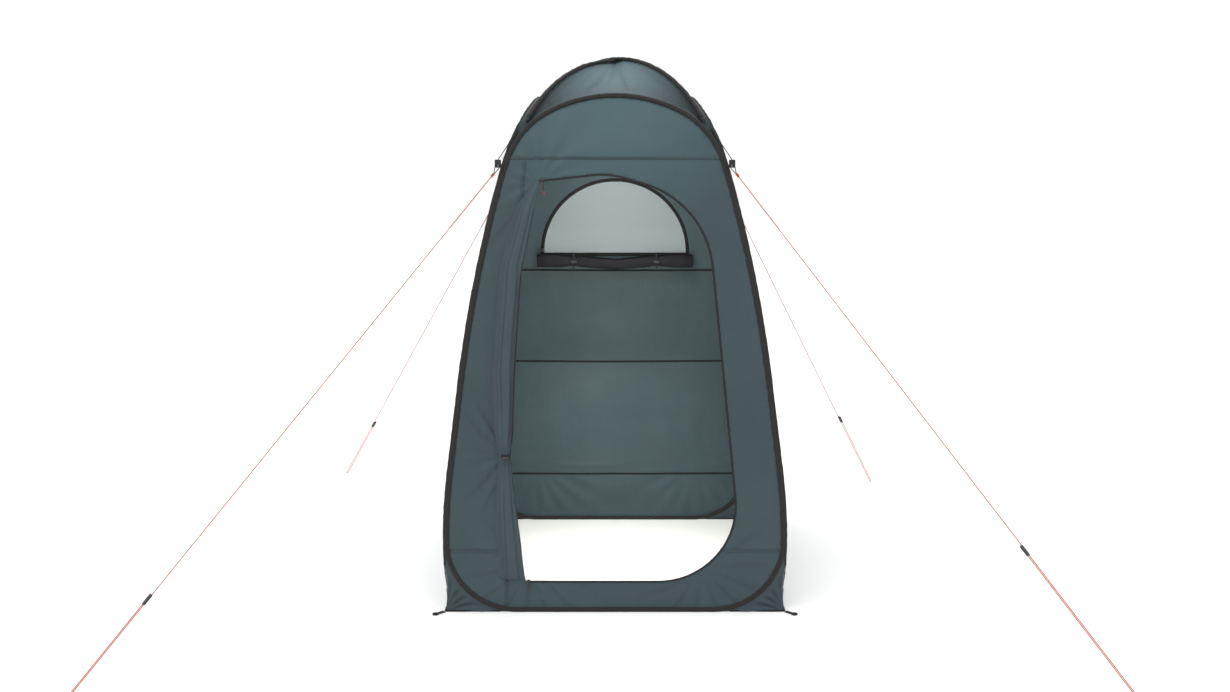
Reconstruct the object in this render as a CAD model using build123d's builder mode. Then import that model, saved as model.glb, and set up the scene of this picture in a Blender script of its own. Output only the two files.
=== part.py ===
"""Pop-up privacy shower tent: four sprung fabric walls, a domed roof on two crossing
rods, a zip door tied back at the left, a zip window and four guy lines.
Millimetres, +Z up, origin on the ground at the centre, the door faces -Y."""
from build123d import *
import os
from math import asin, atan2, cos, degrees, hypot, radians, sin, sqrt

os.makedirs("parts", exist_ok=True)

# ---- Walls: half width of the tent against height, as tangent straights and arcs ----
BASE_HALF = 598.0
UPRIGHT = 250.0
LOWER_RADIUS = 2000.0
LOWER_LEAN = 7.0
LEAN_TOP = 800.0
MIDDLE_RADIUS = 5200.0
MIDDLE_TOP = 1500.0
UPPER_RADIUS = 1200.0
SECTION_TOP = 1850.0

# ---- Sprung hoops, their sleeves and the fabric ----
CORNER_RADIUS = 250.0
ARCH_START = 1580.0
ARCH_SHOULDER = 300.0
ARCH_CROWN = 1807.0
SLEEVE_WIDTH = 18.0
SLEEVE_HALF = 2.5
HOOP_WIDTH = 7.0
HOOP_HALF = 1.0
HOOP_GAP = 0.6
SHEET_HALF = 0.4
SPAN = 640.0

# ---- Roof rods ----
APEX = 1938.0
ROD_END_RADIUS = 443.0
ROD_END_HEIGHT = 1710.0
ROD_DIAMETER = 6.0
ROD_SLEEVE_WIDTH = 20.0
ROD_SLEEVE_HEIGHT = 8.0
ROD_STEP = 9.0
POCKET_LENGTH = 26.0
POCKET_WIDTH = 18.0

# ---- Door, window and their zips ----
DOOR_TOP_LEFT = (-262, 1500)
DOOR_TOP = (-20, 1526)
DOOR_TOP_RIGHT = (318, 1426)
DOOR_LOW_RIGHT = (448, 110)
DOOR_LOW_LEFT = (-312, 110)
DOOR_PINCH = (-372, 620)
DOOR_RADII = (300, 330, 270)
ZIP_WIDTH = 9.0
ZIP_THICK = 1.6
WINDOW_RADIUS = 296.0
WINDOW_BASE = 1185.0
WINDOW_BINDING = 13.0

# ---- Guy lines ----
CORD = 3.0
PEG_BEND = 4.5
RUNNER = (38.0, 15.0, 6.0)
TAB_REACH = 409.0
TAB_HEIGHT = 1560.0
TAB_CORD = 3.0
GUY_TOP = (424.0, 424.0, 1524.0)
# Ground point of each line and the share of its length where the runner sits.
GUYS = {
    "front_left": (-1611, -1401, 0.83),
    "front_right": (1543, -1401, 0.745),
    "rear_right": (1251, 1269, 0.77),
    "rear_left": (-1352, 1443, 0.81),
}
SIDES = {"front": 0, "right": 90, "back": 180, "left": 270}
CORNERS = {"front_right": 0, "rear_right": 90, "rear_left": 180, "front_left": 270}

# ---- Centres of the wall arcs, worked out from the dimensions above ----
low_c = (BASE_HALF - LOWER_RADIUS, UPRIGHT)
low_u = low_c[0] + LOWER_RADIUS * cos(radians(LOWER_LEAN))
low_z = low_c[1] + LOWER_RADIUS * sin(radians(LOWER_LEAN))
mid_u = low_u - (LEAN_TOP - low_z) * sin(radians(LOWER_LEAN)) / cos(radians(LOWER_LEAN))
mid_c = (
    mid_u - MIDDLE_RADIUS * cos(radians(LOWER_LEAN)),
    LEAN_TOP - MIDDLE_RADIUS * sin(radians(LOWER_LEAN)),
)
MIDDLE_LEAN = degrees(asin((MIDDLE_TOP - mid_c[1]) / MIDDLE_RADIUS))
top_u = mid_c[0] + MIDDLE_RADIUS * cos(radians(MIDDLE_LEAN))
top_c = (
    top_u - UPPER_RADIUS * cos(radians(MIDDLE_LEAN)),
    MIDDLE_TOP - UPPER_RADIUS * sin(radians(MIDDLE_LEAN)),
)
UPPER_LEAN = degrees(asin((SECTION_TOP - top_c[1]) / UPPER_RADIUS))

# ---- Arch of a wall panel: shoulder arc from the corner, then a crown arc ----
ARCH_LEAN = degrees(asin((ARCH_START - top_c[1]) / (UPPER_RADIUS - SLEEVE_HALF)))
arch_u = top_c[0] + (UPPER_RADIUS - SLEEVE_HALF) * cos(radians(ARCH_LEAN))
shoulder_c = (
    arch_u - ARCH_SHOULDER * cos(radians(ARCH_LEAN)),
    ARCH_START - ARCH_SHOULDER * sin(radians(ARCH_LEAN)),
)
rise = ARCH_CROWN - shoulder_c[1] - ARCH_SHOULDER
reach = (rise**2 + shoulder_c[0] ** 2) / (2 * rise)
CROWN_RADIUS = ARCH_SHOULDER + reach
CROWN_LEAN = degrees(atan2(reach - rise, shoulder_c[0]))
crown_c = (0, ARCH_CROWN - CROWN_RADIUS)


def half_width(z):
    """Half width of the tent at height z."""
    if z <= UPRIGHT:
        return BASE_HALF
    if z <= low_z:
        return low_c[0] + sqrt(LOWER_RADIUS**2 - (z - low_c[1]) ** 2)
    if z <= LEAN_TOP:
        return mid_u + (LEAN_TOP - z) * (low_u - mid_u) / (LEAN_TOP - low_z)
    if z <= MIDDLE_TOP:
        return mid_c[0] + sqrt(MIDDLE_RADIUS**2 - (z - mid_c[1]) ** 2)
    return top_c[0] + sqrt(UPPER_RADIUS**2 - (z - top_c[1]) ** 2)


def lean_at(z):
    """Inward lean of the wall in degrees at height z, above the straight part."""
    if z <= MIDDLE_TOP:
        return degrees(asin((z - mid_c[1]) / MIDDLE_RADIUS))
    return degrees(asin((z - top_c[1]) / UPPER_RADIUS))


def wall_curve(shift, end_lean, low_z_start):
    """Edges of the half-width curve, moved out along its normal by shift."""
    out = BASE_HALF + shift
    if low_z_start < UPRIGHT:
        Line((out, low_z_start), (out, UPRIGHT))
    CenterArc(low_c, LOWER_RADIUS + shift, 0, LOWER_LEAN)
    slope = (cos(radians(LOWER_LEAN)) * shift, sin(radians(LOWER_LEAN)) * shift)
    Line((low_u + slope[0], low_z + slope[1]), (mid_u + slope[0], LEAN_TOP + slope[1]))
    CenterArc(mid_c, MIDDLE_RADIUS + shift, LOWER_LEAN, MIDDLE_LEAN - LOWER_LEAN)
    CenterArc(top_c, UPPER_RADIUS + shift, MIDDLE_LEAN, end_lean - MIDDLE_LEAN)


def on_top_arc(shift):
    """End point of the half-width curve at the top of the section."""
    r = UPPER_RADIUS + shift
    return (top_c[0] + r * cos(radians(UPPER_LEAN)), top_c[1] + r * sin(radians(UPPER_LEAN)))


def across(turn):
    return Vector(cos(radians(turn)), sin(radians(turn)), 0)


def outward(turn):
    return Vector(sin(radians(turn)), -cos(radians(turn)), 0)


def face_plane(turn):
    """Upright plane through the centre, seen from outside a wall."""
    return Plane(origin=(0, 0, 0), x_dir=across(turn), z_dir=outward(turn))


def section_plane(turn):
    """Upright plane across a wall, with its x axis pointing outward."""
    return Plane(origin=(0, 0, 0), x_dir=outward(turn), z_dir=across(turn) * -1)


def curved_sheet(turn, inner, outer):
    """Full-width sheet of one wall between two shifts of the half-width curve."""
    with BuildPart() as sheet:
        with BuildSketch(section_plane(turn)):
            with BuildLine():
                wall_curve(inner, UPPER_LEAN, 0)
                wall_curve(outer, UPPER_LEAN, 0)
                Line((BASE_HALF + inner, 0), (BASE_HALF + outer, 0))
                Line(on_top_arc(inner), on_top_arc(outer))
            make_face()
        extrude(amount=SPAN, both=True)
    return sheet.part


def panel(inset):
    """Outline of a wall panel, inset from the outer edge of its hoop sleeve."""
    corner_x = BASE_HALF - SLEEVE_HALF - CORNER_RADIUS
    with BuildSketch() as outline:
        with BuildLine():
            Line((0, inset), (corner_x, inset))
            CenterArc((corner_x, CORNER_RADIUS), CORNER_RADIUS - inset, -90, 90)
            wall_curve(-SLEEVE_HALF - inset, ARCH_LEAN, UPRIGHT)
            CenterArc(shoulder_c, ARCH_SHOULDER - inset, ARCH_LEAN, CROWN_LEAN - ARCH_LEAN)
            CenterArc(crown_c, CROWN_RADIUS - inset, CROWN_LEAN, 90 - CROWN_LEAN)
            Line((0, ARCH_CROWN - inset), (0, inset))
        make_face()
        mirror(about=Plane.YZ)
    return outline.sketch


def hoop_ring(turn, outer_inset, inner_inset, half):
    """Closed band that follows the panel outline on the curved wall."""
    with BuildPart() as band:
        add(curved_sheet(turn, -half, half))
        with BuildSketch(face_plane(turn)):
            add(panel(outer_inset))
            add(panel(inner_inset), mode=Mode.SUBTRACT)
        extrude(amount=SPAN, mode=Mode.INTERSECT)
    return band.part


def door_outline(grow):
    """Door opening; the left edge bows toward the tie."""
    with BuildSketch() as opening:
        with BuildLine():
            FilletPolyline(
                DOOR_TOP_LEFT, DOOR_TOP, DOOR_TOP_RIGHT, DOOR_LOW_RIGHT, DOOR_LOW_LEFT,
                radius=list(DOOR_RADII),
            )
            ThreePointArc(DOOR_LOW_LEFT, DOOR_PINCH, DOOR_TOP_LEFT)
        make_face()
        if grow:
            offset(amount=grow)
    return opening.sketch


def window_outline(grow):
    """Half round window with a straight base."""
    side = WINDOW_RADIUS + grow
    with BuildSketch() as window:
        with BuildLine():
            Polyline((-side, WINDOW_BASE), (-side, WINDOW_BASE - grow - 1),
                     (side, WINDOW_BASE - grow - 1), (side, WINDOW_BASE))
            CenterArc((0, WINDOW_BASE), side, 0, 180)
        make_face()
    return window.sketch


def finish_part(built, name):
    built.part.label = name
    export_step(built.part, f"parts/{name}.step")


# ---------------- Hoops, sleeves and walls ----------------
HOOP_INSET = (SLEEVE_WIDTH - HOOP_WIDTH) / 2
TUNNEL_INSET = HOOP_INSET - HOOP_GAP
for side, turn in SIDES.items():
    with BuildPart() as spring_hoop:
        add(hoop_ring(turn, HOOP_INSET, HOOP_INSET + HOOP_WIDTH, HOOP_HALF))
    finish_part(spring_hoop, f"{side}_spring_hoop")

    with BuildPart() as sleeve:
        add(hoop_ring(turn, 0, SLEEVE_WIDTH, SLEEVE_HALF))
        add(
            hoop_ring(turn, TUNNEL_INSET, SLEEVE_WIDTH - TUNNEL_INSET, HOOP_HALF + HOOP_GAP),
            mode=Mode.SUBTRACT,
        )
    finish_part(sleeve, f"{side}_hoop_sleeve")

    with BuildPart() as wall:
        add(curved_sheet(turn, -SHEET_HALF, SHEET_HALF))
        with BuildSketch(face_plane(turn)):
            add(panel(SLEEVE_WIDTH))
            if side == "front":
                add(door_outline(0), mode=Mode.SUBTRACT)
            if side == "back":
                add(window_outline(0), mode=Mode.SUBTRACT)
        extrude(amount=SPAN, mode=Mode.INTERSECT)
    finish_part(wall, f"{side}_wall")

# ---------------- Corner gussets and ground hem ----------------
HEM = 6.0
CORNER_X = BASE_HALF - SLEEVE_HALF - CORNER_RADIUS
HEM_START = CORNER_X + 55


def gusset_leg(turn, low, high, half, flip):
    """Flat triangle between a hoop's bottom corner, the ground and the tent corner."""
    with BuildPart() as leg:
        with BuildSketch(face_plane(turn).offset(BASE_HALF - half)):
            with BuildLine():
                Polyline(
                    (HEM_START, low), (BASE_HALF + half, low),
                    (BASE_HALF + half, high), (HEM_START, high), close=True,
                )
            make_face()
            with Locations((CORNER_X, CORNER_RADIUS)):
                Circle(CORNER_RADIUS, mode=Mode.SUBTRACT)
            if flip:
                mirror(about=Plane.YZ, mode=Mode.REPLACE)
        extrude(amount=2 * half)
    return leg.part


for corner, turn in CORNERS.items():
    with BuildPart() as gusset:
        add(gusset_leg(turn, HEM, CORNER_RADIUS, SHEET_HALF, False))
        add(gusset_leg(turn + 90, HEM, CORNER_RADIUS, SHEET_HALF, True))
    finish_part(gusset, f"{corner}_gusset")

with BuildPart() as hem_tape:
    for turn in CORNERS.values():
        add(gusset_leg(turn, 0, HEM, 1.2, False))
        add(gusset_leg(turn + 90, 0, HEM, 1.2, True))
finish_part(hem_tape, "hem_tape")

# ---------------- Seam tapes across the walls ----------------
SEAM_HEIGHTS = {"right": (215, 1565), "back": (208, 715, 1112), "left": (215, 1565)}
SEAM_WIDTH = 7.0
with BuildPart() as seam_tapes:
    for side, heights in SEAM_HEIGHTS.items():
        for height in heights:
            with BuildPart(mode=Mode.PRIVATE) as tape:
                add(curved_sheet(SIDES[side], -SHEET_HALF - 0.8, -SHEET_HALF))
                with BuildSketch(face_plane(SIDES[side])):
                    add(panel(SLEEVE_WIDTH + 0.5))
                    with Locations((0, height)):
                        Rectangle(2 * SPAN, SEAM_WIDTH, mode=Mode.INTERSECT)
                extrude(amount=SPAN, mode=Mode.INTERSECT)
            add(tape.part)
finish_part(seam_tapes, "seam_tapes")

# ---------------- Door zip ----------------
with BuildPart() as door_zip:
    add(curved_sheet(0, SHEET_HALF, SHEET_HALF + ZIP_THICK))
    with BuildSketch(face_plane(0)):
        add(door_outline(ZIP_WIDTH))
        add(door_outline(0), mode=Mode.SUBTRACT)
        with BuildLine():
            Polyline(
                (-500, 60), (DOOR_LOW_LEFT[0], 60), DOOR_LOW_LEFT, (-250, 700),
                DOOR_TOP_LEFT, (DOOR_TOP_LEFT[0], 1600), (-500, 1600), close=True,
            )
        make_face(mode=Mode.SUBTRACT)
    extrude(amount=SPAN, mode=Mode.INTERSECT)
finish_part(door_zip, "door_zip_tape")

SLIDER = (13.0, 13.0, 8.0)
BAIL_HEIGHT = 7.0
PIN = 1.0
PULLER_GAP = 0.08


def slider_body(slot_depth):
    """Zip slider: local x along the zip, y toward the tape, z out of the wall."""
    with BuildPart() as body:
        Box(*SLIDER)
        fillet(body.edges().filter_by(Axis.Z), 2.5)
        if slot_depth:
            with Locations((0, SLIDER[1] / 2, 0)):
                Box(SLIDER[0] + 2, 2 * slot_depth, 4.4, mode=Mode.SUBTRACT)
        with Locations((-3.6, 0, SLIDER[2] / 2 + 1.8), (3.6, 0, SLIDER[2] / 2 + 1.8)):
            Box(1.4, 4, 4)
        with Locations((0, 0, BAIL_HEIGHT)):
            Cylinder(PIN, 8.4, rotation=(0, 90, 0))
    return body.part


def puller(drop, length):
    """Puller: an eye on the slider's pin and a moulded grip that hangs along drop."""
    with BuildPart() as grip:
        with Locations((0, drop * (length / 2 + 1.0), BAIL_HEIGHT + 0.9)):
            Box(4.8, length, 2.6)
        fillet(grip.edges().filter_by(Axis.Z), 1.2)
        with Locations((0, 0, BAIL_HEIGHT)):
            Cylinder(PIN + 1.4, 4.8, rotation=(0, 90, 0))
            Cylinder(PIN + PULLER_GAP, 6.0, rotation=(0, 90, 0), mode=Mode.SUBTRACT)
    return grip.part


def wall_point(x, z, out):
    """Point on the front wall's middle surface, moved out along its normal."""
    lean = radians(lean_at(z))
    return Vector(x, -half_width(z) - out * cos(lean), z + out * sin(lean))


zip_run = DOOR_TOP[0] - DOOR_TOP_LEFT[0]
zip_slope = (DOOR_TOP[1] - DOOR_TOP_LEFT[1]) / zip_run
PARK = 9.0
top_start = wall_point(DOOR_TOP_LEFT[0] + PARK, DOOR_TOP_LEFT[1] + PARK * zip_slope, 0.8)
top_end = wall_point(DOOR_TOP_LEFT[0] + 160, DOOR_TOP_LEFT[1] + 160 * zip_slope, 0.8)
top_along = (top_end - top_start).normalized()
top_lean = radians(lean_at(DOOR_TOP_LEFT[1] + 80 * zip_slope))
top_normal = top_along.cross(Vector(0, cos(top_lean), -sin(top_lean))).cross(top_along) * -1
slider_planes = {
    "top": Plane(origin=top_start, x_dir=top_along, z_dir=top_normal),
    "bottom": Plane(
        origin=(DOOR_LOW_LEFT[0] + PARK, -BASE_HALF - 0.8, DOOR_LOW_LEFT[1]),
        x_dir=(-1, 0, 0), z_dir=(0, -1, 0),
    ),
}

for place, drop, length in (("top", -1, 50.0), ("bottom", 1, 30.0)):
    plane = slider_planes[place]
    with BuildPart() as slider:
        add(plane * slider_body(7.1))
    finish_part(slider, f"door_zip_slider_{place}")
    with BuildPart() as zip_puller:
        add(plane * puller(drop, length))
    finish_part(zip_puller, f"door_zip_puller_{place}")

# ---------------- Gathered door, its tie and toggle ----------------
# Height, middle across, half width, half depth of the gathered door's section.
BUNDLE = (
    (1484, -284, 19, 6), (1400, -306, 28, 12), (1200, -352, 36, 20), (850, -375, 37, 24),
    (640, -378, 27, 21), (566, -378, 16, 14), (546, -378, 15, 13), (520, -376, 18, 15),
    (380, -370, 31, 20), (122, -355, 44, 16),
)
BUNDLE_GAP = 4.0
with BuildPart() as door_panel:
    for height, middle, wide, deep in BUNDLE:
        middle_y = -half_width(height) - deep - BUNDLE_GAP
        with BuildSketch(Plane.XY.offset(height)):
            Polygon(
                *[
                    (middle + wide * cos(radians(a)), middle_y + deep * sin(radians(a)))
                    for a in range(0, 360, 30)
                ],
                align=None,
            )
    loft(ruled=True)
finish_part(door_panel, "door_panel")

TIE_HEIGHT = 556.0
TIE_MIDDLE = (-378.0, -half_width(TIE_HEIGHT) - 13.5 - BUNDLE_GAP)
with BuildPart() as tie_loops:
    with BuildSketch(Plane.XY.offset(TIE_HEIGHT - 3)):
        with Locations(TIE_MIDDLE):
            Ellipse(18.6, 16.2)
            Ellipse(17.1, 14.7, mode=Mode.SUBTRACT)
    extrude(amount=6)
    for x in (-172, 172):
        with BuildSketch(Plane.YZ.offset(x - 3)):
            with Locations((457.5, 1150)):
                Ellipse(23.6, 31.6)
                Ellipse(22.1, 30.1, mode=Mode.SUBTRACT)
        extrude(amount=6)
finish_part(tie_loops, "tie_loops")

TOGGLE_RADIUS = 4.5
TOGGLE_LENGTH = 24.0


def toggle(centre):
    """Barrel toggle with a waist, lying across its loop."""
    with BuildPart(Plane(origin=centre, x_dir=(0, 0, 1), z_dir=(1, 0, 0))) as barrel:
        Cylinder(TOGGLE_RADIUS, TOGGLE_LENGTH)
        fillet(barrel.edges(), 2.0)
        with Locations((0, 0, 0)):
            Cylinder(TOGGLE_RADIUS + 1, 5)
            Cylinder(TOGGLE_RADIUS - 1, 5, mode=Mode.SUBTRACT)
            Cylinder(TOGGLE_RADIUS - 1, 5)
    return barrel.part


TOGGLES = {
    "door_toggle": (TIE_MIDDLE[0], TIE_MIDDLE[1] - 22.4, TIE_HEIGHT),
    "window_toggle_left": (-172, 457.5 - 29.8, 1150),
    "window_toggle_right": (172, 457.5 - 29.8, 1150),
}
for name, centre in TOGGLES.items():
    with BuildPart() as barrel:
        add(toggle(centre))
    finish_part(barrel, name)

# ---------------- Window: mesh, zip binding and the rolled cover ----------------
with BuildPart() as window_mesh:
    add(curved_sheet(180, -0.3, 0.3))
    with BuildSketch(face_plane(180)):
        add(window_outline(0))
    extrude(amount=SPAN, mode=Mode.INTERSECT)
finish_part(window_mesh, "window_mesh")

with BuildPart() as window_zip:
    add(curved_sheet(180, -SHEET_HALF - ZIP_THICK, -SHEET_HALF))
    with BuildSketch(face_plane(180)):
        add(window_outline(WINDOW_BINDING))
        add(window_outline(0), mode=Mode.SUBTRACT)
    extrude(amount=SPAN, mode=Mode.INTERSECT)
finish_part(window_zip, "window_zip_binding")

# Place across, height, half depth and half height of the rolled cover's section.
ROLL = (
    (-330, 1155, 13, 22), (-290, 1158, 19, 31), (-172, 1150, 21, 29), (0, 1149, 21, 28),
    (172, 1150, 21, 29), (290, 1158, 19, 31), (330, 1155, 13, 22),
)
with BuildPart() as cover_roll:
    for x, height, deep, tall in ROLL:
        with BuildSketch(Plane.YZ.offset(x)):
            with Locations((457.5, height)):
                Ellipse(deep, tall)
    loft(ruled=True)
finish_part(cover_roll, "window_cover_roll")

# The window slider rides on the chord plane of the curved wall, just inside it.
chord_low = Vector(0, half_width(WINDOW_BASE), WINDOW_BASE)
chord_high = Vector(
    0, half_width(WINDOW_BASE + WINDOW_RADIUS + 6), WINDOW_BASE + WINDOW_RADIUS + 6
)
chord = (chord_high - chord_low).normalized()
inner_normal = Vector(0, -chord.Z, chord.Y)
window_slider_plane = Plane(
    origin=Vector(-WINDOW_RADIUS - 6, chord_low.Y + chord.Y / chord.Z * 12, WINDOW_BASE + 12)
    + inner_normal * 6.6,
    x_dir=chord, z_dir=inner_normal,
)
with BuildPart() as window_slider:
    add(window_slider_plane * slider_body(0))
finish_part(window_slider, "window_zip_slider")
with BuildPart() as window_puller:
    add(window_slider_plane * puller(1, 22.0))
finish_part(window_puller, "window_zip_puller")

# ---------------- Roof: four gores, two crossing rods, sleeves and pockets ----------------
ARC_RADIUS = (ROD_END_RADIUS**2 + (APEX - ROD_END_HEIGHT) ** 2) / (2 * (APEX - ROD_END_HEIGHT))
ARC_CENTRE = APEX - ARC_RADIUS
GORE_HALF = 0.4
GORE_LIFT = 3.2
GORE_DROP = ROD_SLEEVE_HEIGHT / 2 + 7.0
FOOT = sqrt(2) * (half_width(ARCH_START + 14) - 1.0)
FOOT_HEIGHT = ARCH_START + 14


def ridge_height(radius):
    """Height of a gore's ridge, just below a rod sleeve, at a distance from the axis."""
    if radius <= ROD_END_RADIUS:
        return ARC_CENTRE + sqrt((ARC_RADIUS - GORE_DROP) ** 2 - radius**2)
    end = ARC_CENTRE + sqrt((ARC_RADIUS - GORE_DROP) ** 2 - ROD_END_RADIUS**2)
    return end + (FOOT_HEIGHT - end) * (radius - ROD_END_RADIUS) / (FOOT - ROD_END_RADIUS)


def arch_height(x):
    """Height of the gores' lower edge, just above the hoop sleeve's arch."""
    crown = CROWN_RADIUS + GORE_LIFT
    if x > crown * cos(radians(CROWN_LEAN)):
        return shoulder_c[1] + sqrt((ARCH_SHOULDER + GORE_LIFT) ** 2 - (x - shoulder_c[0]) ** 2)
    return crown_c[1] + sqrt(crown**2 - x**2)


FOOT_X = FOOT / sqrt(2)
GORE_STEPS = 13
with BuildPart() as half_gore:
    for step in range(GORE_STEPS):
        x = 0.97 * FOOT_X * step / (GORE_STEPS - 1)
        low = (-half_width(arch_height(x)), arch_height(x))
        high = (-x - 0.8, ridge_height(x * sqrt(2)))
        run = hypot(high[0] - low[0], high[1] - low[1])
        tilt = degrees(atan2(high[1] - low[1], high[0] - low[0]))
        with BuildSketch(Plane.YZ.offset(x)):
            with Locations(Location(((low[0] + high[0]) / 2, (low[1] + high[1]) / 2), tilt)):
                Rectangle(run, 2 * GORE_HALF)
    loft(ruled=True)

for side, turn in SIDES.items():
    with BuildPart() as gore:
        add(half_gore.part.rotate(Axis.Z, turn))
        add(half_gore.part.mirror(Plane.YZ).rotate(Axis.Z, turn))
    finish_part(gore, f"{side}_roof_gore")

DIAGONALS = {"a": (45, 0.0), "b": (135, ROD_STEP)}
for name, (turn, lift) in DIAGONALS.items():
    side_dir = Vector(-sin(radians(turn)), cos(radians(turn)), 0)
    rod_rise = APEX + lift - ROD_END_HEIGHT
    rod_arc = (ROD_END_RADIUS**2 + rod_rise**2) / (2 * rod_rise)
    rod_centre = APEX + lift - rod_arc
    rod_sweep = degrees(asin(ROD_END_RADIUS / rod_arc))
    rod_axis = Axis((0, 0, rod_centre), side_dir)
    apex_plane = Plane(origin=(0, 0, APEX + lift), x_dir=side_dir, z_dir=across(turn))
    with BuildPart() as rod:
        for arc in (rod_sweep, -rod_sweep):
            with BuildSketch(apex_plane):
                Circle(ROD_DIAMETER / 2)
            revolve(axis=rod_axis, revolution_arc=arc)
    finish_part(rod, f"roof_rod_{name}")
    with BuildPart() as rod_sleeve:
        for arc in (rod_sweep - 2.6, 2.6 - rod_sweep):
            with BuildSketch(apex_plane):
                RectangleRounded(ROD_SLEEVE_WIDTH, ROD_SLEEVE_HEIGHT, 2.5)
                Circle(ROD_DIAMETER / 2 + 0.3, mode=Mode.SUBTRACT)
            revolve(axis=rod_axis, revolution_arc=arc)
    finish_part(rod_sleeve, f"roof_rod_sleeve_{name}")

with BuildPart() as rod_pockets:
    for turn in (45, 135, 225, 315):
        lift = ROD_STEP if turn % 180 == 135 else 0.0
        rod_rise = APEX + lift - ROD_END_HEIGHT
        rod_arc = (ROD_END_RADIUS**2 + rod_rise**2) / (2 * rod_rise)
        slope = asin(ROD_END_RADIUS / rod_arc)
        out_dir = across(turn)
        end_plane = Plane(
            origin=out_dir * ROD_END_RADIUS + Vector(0, 0, ROD_END_HEIGHT),
            x_dir=Vector(-out_dir.Y, out_dir.X, 0),
            z_dir=out_dir * cos(slope) - Vector(0, 0, sin(slope)),
        )
        with BuildPart(mode=Mode.PRIVATE) as pocket:
            with Locations((0, 0, (6 - POCKET_LENGTH) / 2 + 1.0)):
                Box(POCKET_WIDTH, 9, POCKET_LENGTH)
            fillet(pocket.edges().filter_by(Axis.Z), 3.0)
            with Locations((0, 0, -POCKET_LENGTH / 2)):
                Cylinder(ROD_DIAMETER / 2 + 0.7, POCKET_LENGTH + 0.4, mode=Mode.SUBTRACT)
        add(end_plane * pocket.part)
finish_part(rod_pockets, "rod_pockets")

# ---------------- Guy tabs, loops and cords at the four corners ----------------
with BuildPart() as guy_tabs:
    for turn in (45, 135, 225, 315):
        lean = radians(lean_at(TAB_HEIGHT))
        with BuildPart(mode=Mode.PRIVATE) as tab:
            with Locations((TAB_REACH * sqrt(2), 0, TAB_HEIGHT)):
                Box(4, 30, 28)
            fillet(tab.edges().filter_by(Axis.X), 3.0)
            with Locations((TAB_REACH * sqrt(2), 0, TAB_HEIGHT - 7)):
                Box(10, 14, 4, mode=Mode.SUBTRACT)
        add(tab.part.rotate(Axis.Z, turn))
finish_part(guy_tabs, "guy_tabs")

with BuildPart() as tab_loops:
    for turn in (45, 135, 225, 315):
        top = TAB_REACH * sqrt(2)
        with BuildPart(mode=Mode.PRIVATE) as loop:
            with BuildLine():
                FilletPolyline(
                    (top + 5, 0, TAB_HEIGHT - 7), (top - 5, 0, TAB_HEIGHT - 7),
                    (top - 5, 0, TAB_HEIGHT - 16), (top + 20, 0, TAB_HEIGHT - 37),
                    (top + 12, 0, TAB_HEIGHT - 7), (top + 5.5, 0, TAB_HEIGHT - 7), radius=1.9,
                )
            with BuildSketch(Plane(origin=(top + 5, 0, TAB_HEIGHT - 7), z_dir=(-1, 0, 0))):
                Circle(TAB_CORD / 2)
            sweep()
        add(loop.part.rotate(Axis.Z, turn))
        start = Vector(TAB_REACH * sqrt(2) - 1, 0, TAB_HEIGHT + 14.2)
        stop = Vector(half_width(1634) * sqrt(2) + 6.0, 0, 1634)
        with BuildPart(mode=Mode.PRIVATE) as cord:
            with BuildSketch(Plane(origin=start, z_dir=(stop - start).normalized())):
                Circle(TAB_CORD / 2)
            extrude(amount=(stop - start).length)
        add(cord.part.rotate(Axis.Z, turn))
finish_part(tab_loops, "tab_loops")

# ---------------- Guy lines, runners and doubled strands ----------------
for corner, (ground_x, ground_y, share) in GUYS.items():
    sign_x = 1 if ground_x > 0 else -1
    sign_y = 1 if ground_y > 0 else -1
    start = Vector(GUY_TOP[0] * sign_x, GUY_TOP[1] * sign_y, GUY_TOP[2])
    stop = Vector(ground_x, ground_y, 4.0)
    along = (stop - start).normalized()
    length = (stop - start).length
    sideways = along.cross(Vector(0, 0, 1)).normalized()
    line_plane = Plane(origin=start, x_dir=along, z_dir=along.cross(sideways))
    with BuildPart() as guy_line:
        with BuildLine(line_plane):
            FilletPolyline(
                (0, 0), (length, 0), (length, 2 * PEG_BEND), (length - 16, 2 * PEG_BEND),
                radius=[PEG_BEND - 0.01, PEG_BEND - 0.01],
            )
        with BuildSketch(Plane(origin=start, z_dir=along)):
            Circle(CORD / 2)
        sweep()
    finish_part(guy_line, f"guy_line_{corner}")
    runner_at = length * share
    strand_start = runner_at + RUNNER[0] / 2
    with BuildPart() as strand:
        with BuildSketch(
            Plane(origin=start + along * strand_start + sideways * 2 * PEG_BEND, z_dir=along)
        ):
            Circle(CORD / 2)
        extrude(amount=length - 16.5 - strand_start)
    finish_part(strand, f"guy_strand_{corner}")
    runner_plane = Plane(
        origin=start + along * runner_at + sideways * PEG_BEND,
        x_dir=along, z_dir=along.cross(sideways),
    )
    with BuildPart() as runner:
        with BuildPart(mode=Mode.PRIVATE) as bar:
            Box(*RUNNER)
            fillet(bar.edges().filter_by(Axis.Z), 4.0)
            fillet(bar.edges().filter_by(Axis.X), 1.2)
            with Locations((0, -PEG_BEND, 0)):
                Cylinder(CORD / 2 + 0.1, RUNNER[0] + 2, rotation=(0, 90, 0), mode=Mode.SUBTRACT)
        add(runner_plane * bar.part)
    finish_part(runner, f"guy_runner_{corner}")
    print(corner, "guy line", round(length + 16 + 3.14 * PEG_BEND), "mm, strand",
          round(length - 16.5 - strand_start), "mm, bend radius", PEG_BEND)

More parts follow.
